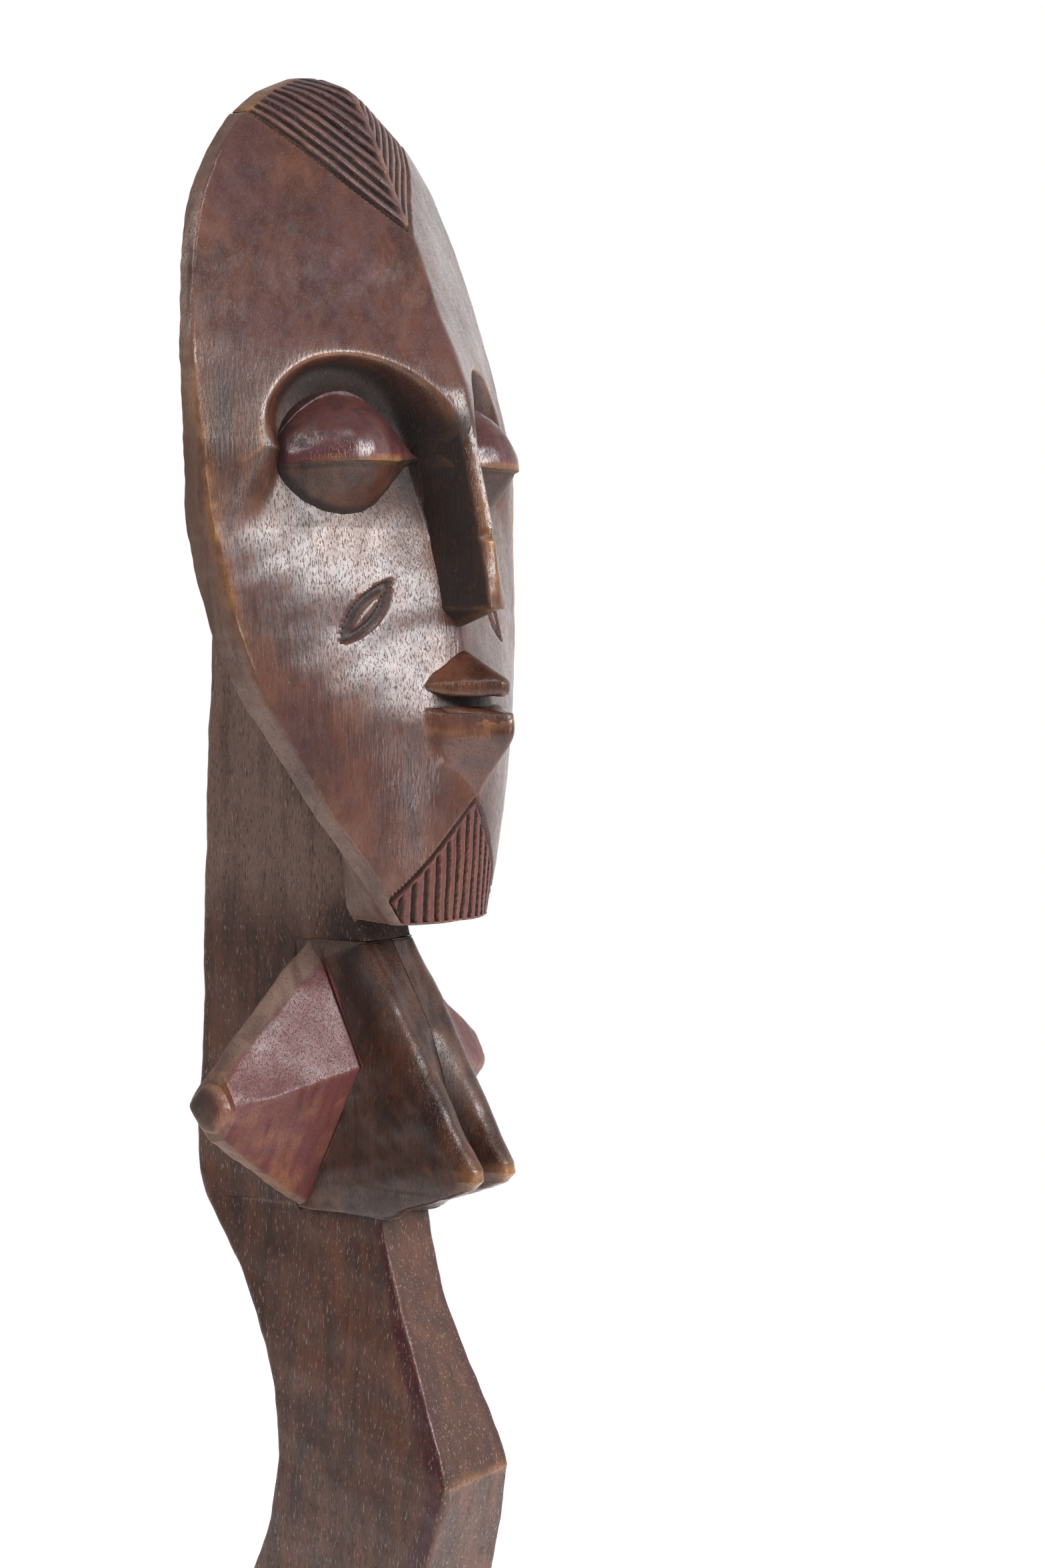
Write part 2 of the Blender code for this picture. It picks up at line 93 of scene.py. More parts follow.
# The chin's wedge: (height, y of its ridge, half width)
CHIN = [
    (390.0, -42.6, 2.0), (394.7, -44.2, 3.4), (399.0, -47.2, 6.2), (404.0, -51.2, 9.0), (409.0, -55.2, 11.4),
    (411.5, -56.4, 12.2), (415.0, -56.6, 12.8), (418.0, -56.0, 13.0), (421.0, -54.8, 13.0),
]
# The crest where an eye's closed lids meet, from the temple to the nose: (x, y)
LID_CREST = [
    (47.8, -10.0), (47.0, -13.6), (45.0, -18.4), (41.5, -24.6), (37.0, -29.8), (32.5, -32.2), (27.0, -32.6),
    (21.0, -31.2), (15.0, -28.9), (10.0, -27.2), (5.0, -26.0),
]
# The heights of that crest, of the upper lid's top and of the lower lid's bottom: (x, height)
LID_CREST_Z = [(47.8, 487.4), (40.0, 488.3), (30.0, 488.6), (20.0, 489.0), (10.0, 489.8), (5.0, 490.2)]
LID_TOP = [
    (47.8, 488.2), (46.9, 491.2), (44.6, 496.0), (40.6, 501.6), (35.6, 506.0), (30.0, 508.4), (24.5, 508.2),
    (19.0, 505.6), (14.2, 501.4), (9.0, 495.6), (5.0, 491.4),
]
LID_BOTTOM = [
    (47.8, 486.6), (46.0, 481.8), (42.0, 477.4), (37.0, 474.4), (31.0, 473.1), (25.0, 473.7), (19.0, 476.6),
    (13.0, 481.6), (8.0, 486.6), (5.0, 489.4),
]
# The nose:
# (height, y of its ridge, half width of its front, fall of the front's edges, half width at the face)
NOSE = [
    (447.6, -52.2, 3.2, 0.9, 7.6), (456.0, -51.4, 3.1, 1.5, 6.6), (466.4, -50.0, 3.0, 2.4, 5.9),
    (468.0, -48.9, 2.9, 2.4, 5.7), (470.0, -49.3, 2.9, 2.5, 5.7),
    (489.4, -44.6, 2.9, 2.5, 5.4), (500.0, -42.2, 3.6, 2.5, 6.6), (506.1, -40.7, 5.0, 3.0, 9.5),
    (511.0, -38.6, 7.0, 3.8, 13.0), (516.0, -36.6, 9.0, 4.9, 15.0),
]
# The upper lip, from its middle to its corner:
# (x, height of its top, y of its edge, height of its edge, height of its underside)
UPPER_LIP = [
    (0.0, 436.6, -55.2, 427.4, 422.0), (1.6, 436.0, -54.6, 427.3, 421.9), (3.5, 434.9, -52.6, 427.2, 421.8),
    (6.0, 433.3, -49.6, 427.0, 421.8), (9.0, 431.4, -45.7, 426.8, 422.1), (12.0, 429.6, -41.6, 426.4, 422.8),
    (15.0, 427.8, -37.2, 425.8, 423.8), (17.6, 426.0, -32.4, 425.2, 424.8),
]
# The trunk's front edge, with its half width: (height, y, x)
BELLY = [
    (150.0, -33.0, 17.5), (171.2, -38.2, 16.7), (183.5, -41.5, 15.9), (194.5, -43.8, 15.1),
    (203.9, -40.6, 14.3), (213.2, -35.9, 13.2), (224.7, -30.8, 11.9), (240.9, -23.9, 11.0),
    (261.6, -17.3, 10.6), (269.0, -15.8, 10.5),
]
# The trunk's back edge: (height, y)
SPINE = [
    (150.0, 34.3), (157.0, 30.2), (166.0, 25.9), (175.0, 22.8), (184.0, 21.0), (192.0, 20.4), (200.0, 20.6),
    (216.0, 23.0), (232.0, 27.8), (247.0, 35.2), (262.0, 45.2), (269.0, 49.6), (276.0, 52.4), (284.0, 53.2),
    (310.0, 51.5), (359.0, 49.5), (408.0, 47.3), (445.0, 45.7), (500.0, 43.8), (540.0, 40.8), (570.0, 35.8),
    (586.0, 30.3),
]
# A breast: (height, y of the valley, x and y of its ridge, y where it meets the side plane)
BREAST = [
    (269.3, -15.5, 10.0, -21.0, 10.0), (271.5, -17.5, 10.2, -24.0, 9.6), (274.5, -22.0, 9.8, -32.0, 7.8),
    (278.0, -26.0, 9.0, -42.0, 6.0), (281.0, -29.2, 8.3, -48.2, 4.2), (283.8, -31.6, 8.0, -50.8, 2.6),
    (287.0, -33.0, 8.1, -50.3, 0.8), (295.0, -33.0, 8.3, -45.0, -3.2), (305.0, -32.0, 8.6, -38.6, -8.0),
    (314.0, -29.8, 8.8, -33.0, -12.0), (325.0, -25.8, 9.0, -26.4, -6.4), (336.0, -19.6, 9.2, -19.6, -1.0),
    (344.0, -14.4, 9.3, -14.4, 3.0), (350.0, -10.8, 9.3, -10.6, 6.6),
]
# How broad a breast's rounded ridge is: (height, half width)
BREAST_GIRTH = [(269.0, 2.2), (279.0, 2.6), (284.0, 3.3), (300.0, 4.3), (338.0, 4.4), (350.0, 1.8)]
# An arm's six edges, from its front edge round over its top: (y, z) where it leaves the side, and at its tip
ARM_ROOT = [(-12.6, 313.8), (2.6, 344.4), (7.2, 351.0), (30.0, 309.0), (12.2, 269.3), (9.4, 271.2)]
ARM_TIP = [(-0.9, 305.0), (4.0, 312.4), (9.8, 313.2), (15.8, 306.0), (10.6, 298.0), (4.4, 298.4)]
SIDE_X = 16.0
# The heights between which the shoulder is cut off slantwise
SHOULDER_CUT = (344.0, 350.0)

# The brow's arch round an eye, the lines that bound the coiffure and the beard, and a cheek's scar
ARCH = {"x": 28.6, "z": 492.0, "inner": 25.0, "outer": 25.6, "rise": 26.6}
COIFFURE_FOOT, COIFFURE_SLOPE = 554.7, 1.003
BEARD_TOP, BEARD_SLOPE = 394.7, 29.1 / 22.8
SCAR = {"x": 27.9, "z": 446.6, "reach": (-8.2, 9.1), "half": 3.9}


# Curves, rounding and the carver's unevenness


def smooth(table, column=1):
    """A smooth curve through the (place, value, ...) rows of a table."""
    rows = sorted(table)
    at = np.array([row[0] for row in rows], float)
    values = np.array([row[column] for row in rows], float)
    slopes = np.gradient(values, at)

    def curve(place):
        place = np.clip(np.asarray(place, float), at[0], at[-1])
        i = np.clip(np.searchsorted(at, place) - 1, 0, len(at) - 2)
        run = at[i + 1] - at[i]
        t = (place - at[i]) / run
        return (
            (2 * t**3 - 3 * t**2 + 1) * values[i] + (t**3 - 2 * t**2 + t) * run * slopes[i]
            + (3 * t**2 - 2 * t**3) * values[i + 1] + (t**3 - t**2) * run * slopes[i + 1]
        )

    return curve


def straight(table, column=1):
    """Straight runs through the (place, value, ...) rows of a table."""
    rows = sorted(table)
    return lambda place: np.interp(place, [row[0] for row in rows], [row[column] for row in rows])


def ramp(low, high, value):
    """0 at low, 1 at high, smooth between; it falls if low is above high."""
    t = np.clip((np.asarray(value, float) - low) / (high - low), 0.0, 1.0)
    return t * t * (3 - 2 * t)


def blend(a, b, share):
    """a where share is 0 and b where it is 1."""
    return a + (b - a) * share


def softly(value, radius):
    """The part of a value above 0, with the corner at 0 rounded."""
    return (value + np.sqrt(value * value + radius * radius)) / 2


def spot(x, z, at, size):
    """A soft round spot, 1 in its middle."""
    return np.exp(-(((x - at[0]) / size[0]) ** 2 + ((z - at[1]) / size[1]) ** 2))


def uneven(places, size, seed):
    """The slow unevenness of hand work, about -1 to 1, from a few crossing waves."""
    rng = np.random.default_rng(seed)
    total = 0.0
    for _ in range(7):
        way = rng.normal(size=len(places))
        way /= np.linalg.norm(way)
        step = size * rng.uniform(0.6, 1.5)
        turn = sum(c * w for c, w in zip(places, way)) * 2 * math.pi / step
        total = total + np.sin(turn + rng.uniform(0, 2 * math.pi))
    return total / 3.2


def facetted(table, column=1, share=0.6):
    """Between straight runs and a smooth curve, as a knife leaves an outline."""
    flat, curved = straight(table, column), smooth(table, column)
    return lambda place: blend(curved(place), flat(place), share)


ridge_y, ground_y = smooth(RIDGE), smooth(GROUND)
edge_x, edge_y, rim_depth = facetted(OUTLINE), facetted(OUTLINE, 2), facetted(OUTLINE, 3)
chin_y, chin_half = smooth(CHIN), smooth(CHIN, 2)
spine_y = smooth(SPINE)
RIM_FLARE = 1.2
FACE_BACK = (-8.5, 23.0)


def face_back(z):
    """The y of the head's back at a height."""
    return blend(*FACE_BACK, (z - CHIN_Z) / (TOP_Z - CHIN_Z))


def brow_plane(x, z):
    """The two slopes of the forehead, which meet in a ridge that runs on down as the nose."""
    t = np.clip(np.abs(x) / edge_x(z), 0, 1)
    crest = 0.02
    slope = (np.sqrt(t * t + crest * crest) - crest) / (math.sqrt(1 + crest * crest) - crest)
    return blend(ridge_y(z), edge_y(z), slope) - np.sin(np.pi * t)


def cheek_ground(x, z):
    """Cheeks, mouth ground and jaw: rounder towards the chin, hollow beside the nose."""
    t = np.clip(np.abs(x) / edge_x(z), 0, 1)
    power = blend(1.38, 1.0, ramp(405, 470, z))
    return blend(ground_y(z), edge_y(z), t**power) - 1.6 * np.sin(np.pi * t) * ramp(505, 470, z)


def eye_hollow(x, z):
    """How far a place lies inside the line of the brow, in millimetres."""
    a = np.abs(x) - ARCH["x"]
    reach = np.where(a < 0, ARCH["inner"], ARCH["outer"])
    above = (1 - np.sqrt((a / reach) ** 2 + ((z - ARCH["z"]) / ARCH["rise"]) ** 2)) * reach
    below = np.where(a < 0, np.abs(x) - (ARCH["x"] - ARCH["inner"]), reach - a + (ARCH["z"] - z) * 1.15)
    return np.where(z > ARCH["z"], above, below)


def scar_place(x, z):
    """(along, inside) in the lens-shaped scar of a cheek, in millimetres."""
    length = math.hypot(*SCAR["reach"])
    along_x, along_z = SCAR["reach"][0] / length, SCAR["reach"][1] / length
    dx, dz = np.abs(x) - SCAR["x"], z - SCAR["z"]
    along = dx * along_x + dz * along_z
    across = dx * along_z - dz * along_x
    return along, SCAR["half"] * (1 - (along / length) ** 2) - np.abs(across)


def above_coiffure_line(x, z):
    """How far a place lies above the coiffure's lower edge."""
    return (z - COIFFURE_FOOT - COIFFURE_SLOPE * np.abs(x)) / math.hypot(1, COIFFURE_SLOPE)


def below_beard_line(x, z):
    """How far a place lies below the beard's upper edge."""
    return (BEARD_TOP - BEARD_SLOPE * np.abs(x) - z) / math.hypot(1, BEARD_SLOPE)


def chin_wedge(x, z):
    """The blunt wedge that juts out under the mouth."""
    half = chin_half(z)
    return chin_y(z) + np.maximum(8.6, cheek_ground(0, z) - chin_y(z) + 1.5) * (
        np.sqrt((np.abs(x) / half) ** 2 + 0.02) - 0.1414
    )


def scratch(x, z):
    """An old scratch on the right side of the forehead."""
    across = (x + 30.9) - (z - 532.8) * 0.62
    return np.exp(-((across / 0.9) ** 2)) * ramp(523, 528, z) * ramp(542, 538, z)


def skin(x, z):
    """The face's front surface, without eyes, nose, lips and the beds of coiffure and beard."""
    above, ground = brow_plane(x, z), cheek_ground(x, z)
    ground = ground + 4.6 * spot(np.abs(x), z, (29.0, 501.0), (19.0, 15.0)) * ramp(470, 488, z)
    inside = eye_hollow(x, z)
    narrow_by_nose = blend(0.45, 1.0, np.maximum(ramp(488, 508, z), ramp(12, 24, np.abs(x))))
    width = blend(4.4, 13.0, ramp(34, 54, np.abs(x))) * narrow_by_nose
    width = width + 14.0 * ramp(34, 62, np.abs(x)) * ramp(500, 480, z)
    t = np.clip(softly(inside, 0.5) / width, 0, 1)
    crisp, soft = (1 - t) ** 2.3, 1 - t * t * (3 - 2 * t)
    outer_corner = ramp(38, 52, np.abs(x)) * ramp(506, 488, z)
    share = 1 - blend(crisp, soft, outer_corner) * ramp(ARCH["z"] - 30, ARCH["z"] - 4, z)
    y = blend(above, ground, share)
    far_behind = 1e3
    wedge = np.where((z > CHIN[0][0]) & (z < 421.5), chin_wedge(x, z), far_behind)
    y = y - softly(y - wedge, 2.0) * ramp(17.5, 13.5, np.abs(x)) * ramp(388, 398, z) * ramp(419.4, 417.6, z)
    _, lens = scar_place(x, z)
    y = y + 1.5 * ramp(-0.3, 0.6, lens) * ramp(2.9, 1.7, lens)
    y = y + 0.7 * scratch(x, z)
    return y + 0.22 * uneven((x, z), 34, 3) + 0.07 * uneven((x, z), 11, 5)


# Meshes

SHARP_ANGLE = math.radians(40)


def mesh_of(name, points, faces):
    """A mesh from points in millimetres, with its faces turned outwards."""
    mesh = bpy.data.meshes.new(name)
    mesh.from_pydata((np.asarray(points, float) * MM).tolist(), [], faces)
    bm = bmesh.new()
    bm.from_mesh(mesh)
    bmesh.ops.remove_doubles(bm, verts=bm.verts, dist=1e-7)
    bmesh.ops.recalc_face_normals(bm, faces=bm.faces)
    bm.to_mesh(mesh)
    bm.free()
    mesh.update()
    return mesh


def rings_mesh(name, rings):
    """A closed mesh through rings of equal point counts, with a fan of faces over each end."""
    rings = np.asarray(rings, float)
    rows, count = rings.shape[:2]
    points = np.concatenate([rings.reshape(-1, 3), [rings[0].mean(0)], [rings[-1].mean(0)]])
    low = (np.arange(rows - 1)[:, None] * count + np.arange(count)).reshape(-1)
    step = (np.arange(rows - 1)[:, None] * count + (np.arange(count) + 1) % count).reshape(-1)
    faces = np.stack([low, step, step + count, low + count], 1).tolist()
    for start, middle in ((0, rows * count), ((rows - 1) * count, rows * count + 1)):
        faces += [(start + i, start + (i + 1) % count, middle) for i in range(count)]
    return mesh_of(name, points, faces)


def rounded(corners, radius, steps=4, spans=6):
    """A closed outline with rounded corners. Every straight run is divided, closer near its ends."""
    corners = np.asarray(corners, float)
    count = len(corners)
    radii = np.broadcast_to(np.asarray(radius, float), count)
    starts, ends = [], []
    for i in range(count):
        here, before, after = corners[i], corners[i - 1], corners[(i + 1) % count]
        a, b = np.linalg.norm(before - here) + 1e-9, np.linalg.norm(after - here) + 1e-9
        cut = min(radii[i], 0.45 * a, 0.45 * b)
        starts.append(here + (before - here) / a * cut)
        ends.append(here + (after - here) / b * cut)
    out = []
    for i in range(count):
        for t in np.linspace(0, 1, steps + 1):
            out.append((1 - t) ** 2 * starts[i] + 2 * t * (1 - t) * corners[i] + t * t * ends[i])
        for share in (1 - np.cos(np.pi * np.arange(1, spans) / spans)) / 2:
            out.append(blend(ends[i], starts[(i + 1) % count], share))
    return np.array(out)


def ring_at(outline, z):
    """An (x, y) outline as a ring at a height."""
    return np.column_stack([outline, np.full(len(outline), z)])


def shrunk(ring, by):
    """A ring drawn in towards its middle by a length."""
    ring = np.asarray(ring, float)
    away = ring - ring.mean(0)
    length = np.linalg.norm(away, axis=1, keepdims=True) + 1e-9
    return ring - away / length * np.minimum(by, 0.6 * length)


def rounded_ends(rings, radius, axis=2):
    """A row of rings whose two ends are rounded over."""
    rings = [np.array(ring, float) for ring in rings]
    way = np.sign(rings[-1][:, axis].mean() - rings[0][:, axis].mean())
    low, high = [], []
    for turn in (0, 30, 60):
        inset = radius * (1 - math.sin(math.radians(turn)))
        lift = radius * (1 - math.cos(math.radians(turn)))
        for end, rows, sign in ((rings[0], low, way), (rings[-1], high, -way)):
            ring = shrunk(end, inset)
            ring[:, axis] += sign * lift
            rows.append(ring)
    rings[0][:, axis] += way * radius
    rings[-1][:, axis] -= way * radius
    return low + rings + high[::-1]


def places(mesh):
    """The mesh's points in millimetres, as x, y, z."""
    co = np.empty(len(mesh.vertices) * 3)
    mesh.vertices.foreach_get("co", co)
    return (co.reshape(-1, 3) / MM).T


def point_normals(mesh):
    normals = np.empty(len(mesh.vertices) * 3)
    mesh.vertices.foreach_get("normal", normals)
    return normals.reshape(-1, 3)


def hand_cut(mesh, amount, size, seed, keep=None):
    """Moves the surface in and out a little along its normals, as hand tools leave it."""
    xyz = places(mesh)
    shift = amount * uneven(xyz, size, seed) + 0.3 * amount * uneven(xyz, size / 3.2, seed + 1)
    if keep is not None:
        shift = shift * keep(*xyz)
    moved = xyz.T + point_normals(mesh) * shift[:, None]
    mesh.vertices.foreach_set("co", (moved * MM).reshape(-1))
    mesh.update()
    return mesh


def worn_soft(mesh, rounds):
    """Rounds a mesh's edges over, as years of handling do."""
    bm = bmesh.new()
    bm.from_mesh(mesh)
    for _ in range(rounds):
        bmesh.ops.smooth_vert(
            bm, verts=bm.verts, factor=0.5, use_axis_x=True, use_axis_y=True, use_axis_z=True,
        )
    bm.to_mesh(mesh)
    bm.free()
    mesh.update()


def bend(mesh, rounds=2):
    """How much the surface bends at each point, per millimetre: above 0 on edges, below 0 in creases."""
    co, normals = places(mesh).T, point_normals(mesh)
    pairs = np.empty(len(mesh.edges) * 2, np.int64)
    mesh.edges.foreach_get("vertices", pairs)
    a, b = pairs.reshape(-1, 2).T
    count = len(co)
    gap = co[b] - co[a]
    length = np.maximum(np.linalg.norm(gap, axis=1), 0.25)
    weight = 1 / length
    near = np.bincount(a, weight, count) + np.bincount(b, weight, count) + 1e-9
    here, there = -(gap * normals[a]).sum(1), (gap * normals[b]).sum(1)
    value = 2 * (
        np.bincount(a, here / length**2 * weight, count) + np.bincount(b, there / length**2 * weight, count)
    ) / near
    for _ in range(rounds):
        spread = (np.bincount(a, value[b] * weight, count) + np.bincount(b, value[a] * weight, count)) / near
        value = (value + spread) / 2
    return value


def paint(obj, **masks):
    """Stores each mask, one value for each point, as a named attribute."""
    for name, values in masks.items():
        layer = obj.data.attributes.get(name) or obj.data.attributes.new(name, "FLOAT", "POINT")
        layer.data.foreach_set("value", np.ascontiguousarray(np.clip(values, 0, 1), np.float32))


def new_piece(name, mesh, material, node, slot, wear=None, soot=None, stain=None, bare=None, edge_wear=1.0):
    """Adds the finished piece that stands for a CAD node, painted with its masks."""
    obj = bpy.data.objects.new(name, mesh)
    bpy.context.scene.collection.objects.link(obj)
    mesh.materials.clear()
    mesh.materials.append(material)
    mesh.shade_smooth()
    mesh.set_sharp_from_angle(angle=SHARP_ANGLE)
    curve = bend(mesh)
    xyz = places(mesh)
    none = np.zeros(len(curve))
    wear, soot, stain, bare = (mask(*xyz) if mask else none for mask in (wear, soot, stain, bare))
    paint(
        obj,
        wear=edge_wear * ramp(0.10, 0.55, curve) + wear,
        # Painted shade: the creases, where the surface bends inwards, are darkened
        soot=0.8 * ramp(-0.08, -0.5, curve) + soot,
        stain=stain,
        bare=bare,
    )
    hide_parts(node)
    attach(obj, BODY)
    return obj


def paired_piece(side, name, mesh, material, node, slot, **masks):
    """Adds one of a right and left pair. Each is shaped as the left one, and the right one is mirrored."""
    if side == "right":
        bm = bmesh.new()
        bm.from_mesh(mesh)
        for vert in bm.verts:
            vert.co.x = -vert.co.x
        bmesh.ops.reverse_faces(bm, faces=bm.faces)
        bm.to_mesh(mesh)
        bm.free()
        mesh.update()
    return new_piece(name, mesh, material, f"{side}_{node}", slot, **masks)


# Finishes

# Near black for painted shade in creases and recesses, and for the wood's dark knots and flecks
SHADE_AND_MARKS_DARK = (0.010, 0.0042, 0.0034)
WARM_PATCHES = (0.140, 0.050, 0.022)
# Grey brown bare wood, also used as painted light on surfaces that get little light
BARE_AND_LIT_WOOD = (0.150, 0.088, 0.066)
PALE_FLECKS = (0.30, 0.20, 0.16)
FACE_STAIN = (0.095, 0.046, 0.050)
LID_STAIN = (0.085, 0.026, 0.032)
TRUNK_STAIN = (0.042, 0.004, 0.006)


class Wire:
    """A shader socket that takes part in Python sums; each sum adds a Math node."""

    def __init__(self, finish, socket):
        self.finish, self.socket = finish, socket

    def math(self, operation, *values):
        return self.finish.node("ShaderNodeMath", {"operation": operation}, dict(enumerate(values)))

    def __add__(self, other):
        return self.math("ADD", self, other)

    def __sub__(self, other):
        return self.math("SUBTRACT", self, other)

    def __rsub__(self, other):
        return self.math("SUBTRACT", other, self)

    def __mul__(self, other):
        return self.math("MULTIPLY", self, other)

    __radd__, __rmul__ = __add__, __mul__

    def between(self, low, high):
        """0 at low and 1 at high, smooth between."""
        settings = {"interpolation_type": "SMOOTHSTEP", "clamp": True}
        values = {"Value": self, "From Min": low, "From Max": high}
        return self.finish.node("ShaderNodeMapRange", settings, values)


class Nodes:
    """A node tree under construction."""

    def __init__(self, tree):
        self.tree = tree

    def node(self, kind, settings=None, values=None, output=0):
        node = self.tree.nodes.new(kind)
        for name, value in (settings or {}).items():
            setattr(node, name, value)
        for key, value in (values or {}).items():
            self.set(node.inputs[key], value)
        return Wire(self, node.outputs[output])

    def set(self, socket, value):
        if isinstance(value, Wire):
            self.tree.links.new(value.socket, socket)
        else:
            socket.default_value = value


class Finish(Nodes):
    """A material under construction."""

    def __init__(self, name):
        self.material = bpy.data.materials.new(name)
        self.material.use_nodes = True
        super().__init__(self.material.node_tree)
        self.shader = self.tree.nodes["Principled BSDF"]

    def mask(self, name):
        """One of a piece's painted masks."""
        return self.node("ShaderNodeAttribute", {"attribute_name": name}, output="Fac")

    def mix(self, share, a, b):
        """A blend of two colours."""
        a, b = ((*c, 1.0) if isinstance(c, tuple) else c for c in (a, b))
        return self.node("ShaderNodeMix", {"data_type": "RGBA"}, {0: share, 6: a, 7: b}, output=2)

    def grain(self, length):
        """Object coordinates in millimetres, squeezed along the grain so that patterns run with it."""
        place = self.node("ShaderNodeTexCoord", output="Object")
        scale = (1 / MM, 1 / MM, 1 / MM / length)
        return self.node("ShaderNodeMapping", None, {"Vector": place, "Scale": scale})

    def noise(self, vector, size, detail, rough, warp=0.0):
        shape = {"Detail": detail, "Roughness": rough, "Distortion": warp}
        return self.node("ShaderNodeTexNoise", None, {"Vector": vector, "Scale": 1 / size, **shape})


def toned(colour, share):
    """A colour made darker, to a share of itself."""
    return tuple(share * c for c in colour)


def wood(name, dark, light, stain, worn, rough, pores, flecks=0.0, relief=0.5, warmth=0.55):
    """Carved hardwood: grain, pores, rubbed-in pigment, painted shade in the creases and recesses with the
    dark knots and flecks, bare wood that is also laid on as painted light, and golden wear on the edges.
    """
    f = Finish(name)
    wear, soot, pigment, bare = (f.mask(m) for m in ("wear", "soot", "stain", "bare"))
    broad = f.noise(f.grain(6.0), 7.0, 4.0, 0.6, 0.8)
    streaks = f.noise(f.grain(14.0), 0.9, 3.0, 0.6)
    clouds = f.noise(f.grain(1.2), 20.0, 5.0, 0.62)
    mottle = f.noise(f.grain(1.6), 4.0, 5.0, 0.68)
    pore = f.noise(f.grain(9.0), 0.30, 2.0, 0.5).between(0.57, 0.65)
    body = f.mix(broad.between(0.30, 0.70), dark, light)
    body = f.mix(streaks.between(0.45, 0.75) * 0.40, body, toned(dark, 0.45))
    body = f.mix(clouds.between(0.50, 0.66) * warmth, body, WARM_PATCHES)
    body = f.mix(clouds.between(0.46, 0.30) * 0.75, body, toned(dark, 0.55))
    body = f.mix(pigment * (0.62 + 0.38 * mottle.between(0.32, 0.58)), body, stain)
    # Bare grey brown wood, laid on more strongly as painted light where the figure gets little light
    body = f.mix(bare * (0.45 + 0.55 * broad.between(0.3, 0.6)), body, BARE_AND_LIT_WOOD)
    # Painted shade: near black in the creases and recesses, also over the wood's dark knots and flecks
    body = f.mix(soot * (0.80 + 0.20 * mottle.between(0.3, 0.65)), body, SHADE_AND_MARKS_DARK)
    rubbed = wear * (0.25 + 0.75 * clouds.between(0.38, 0.62)) * (0.5 + 0.5 * mottle.between(0.35, 0.6))
    body = f.mix(rubbed, body, worn)
    body = f.mix(pore * pores, body, toned(dark, 0.3))
    if flecks:
        fleck = f.noise(f.grain(4.5), 0.50, 2.0, 0.5).between(0.62, 0.69)
        body = f.mix(fleck * flecks, body, PALE_FLECKS)
    f.set(f.shader.inputs["Base Color"], body)
    gloss = rough + 0.12 * mottle.between(0.3, 0.7) + 0.35 * soot + 0.18 * pore
    f.set(f.shader.inputs["Roughness"], gloss - 0.06 * wear - 0.12 * pigment + 0.2 * bare)
    height = streaks * (0.4 + relief) + mottle * 0.3 + broad * 0.5 - pore * 0.5
    bump = f.node("ShaderNodeBump", None, {"Strength": 0.45, "Distance": 0.25 * MM, "Height": height})
    f.set(f.shader.inputs["Normal"], bump)
    return f.material


# The head


def face_columns(count=92):
    """Shares of the half width, closer beside the nose and at the rim."""
    t = np.linspace(0, 1, count)
    return 0.82 * t + 0.18 * (t * t * (3 - 2 * t)) - 0.035 * np.sin(2 * np.pi * t)


def face_ring(z):
    """One level outline of the head: its front, its two rims and its sloping back."""
    half, y_edge, depth = edge_x(z), edge_y(z), rim_depth(z)
    under = ramp(-0.5, 1.5, above_coiffure_line(half, z))
    ragged = 0.10 * uneven((z, 0 * z), 6.0, 11) + 0.35 * uneven((z, 0 * z), 40.0, 12)
    half = half - 1.7 * under + ragged * (1 - under)
    shares = face_columns()
    x = half * shares
    bed = 2.6 * ramp(0.0, 0.9, above_coiffure_line(x, z))
    bed = bed + 1.9 * ramp(0.0, 0.8, below_beard_line(x, z)) * (z > CHIN_Z + 0.3)
    y = skin(x, z) + bed
    y_rim = min(y_edge + depth, face_back(z) - 0.6)
    flare = RIM_FLARE * (1 - under) - 0.2 * under
    cut = 0.35 * uneven((z, 0 * z), 26.0, 21)
    x, y = list(x[:-1]), list(y[:-1])
    y_start = y[-1] + (y[-1] - y[-2]) * 0.6
    y_start = blend(y_edge, y_start, 0.5)
    for share, out in ((0.0, -0.10), (0.07, 0.16), (0.2, 0.30)):
        x.append(half + flare * share + out * 0.8)
        y.append(blend(y_start, y_rim, share))
    for share in (0.4, 0.6, 0.8, 0.95):
        x.append(half + flare * share + 0.25 + cut * math.sin(math.pi * share))
        y.append(blend(y_start, y_rim, share))
    flat, y_back = min(16.5, 0.78 * half), face_back(z)
    for share in (0.02, 0.08, 0.18, 0.3, 0.44, 0.58, 0.72, 0.86, 1.0):
        x.append(blend(half + flare, flat, share))
        y.append(blend(y_rim, y_back, share) - 0.25 * math.sin(math.pi * share) * (0.5 - share))
    for share in (0.75, 0.5, 0.25):
        x.append(flat * share)
        y.append(y_back)
    x, y = np.array(x), np.array(y)
    drop = 1.6 * ramp(592, TOP_Z, z)
    right = np.column_stack([x, y, np.full(len(x), z - drop)])
    left = right[1:][::-1] * (-1, 1, 1)
    middle_back = np.array([[0.0, y_back, z - drop]])
    return np.concatenate([right, middle_back, left])


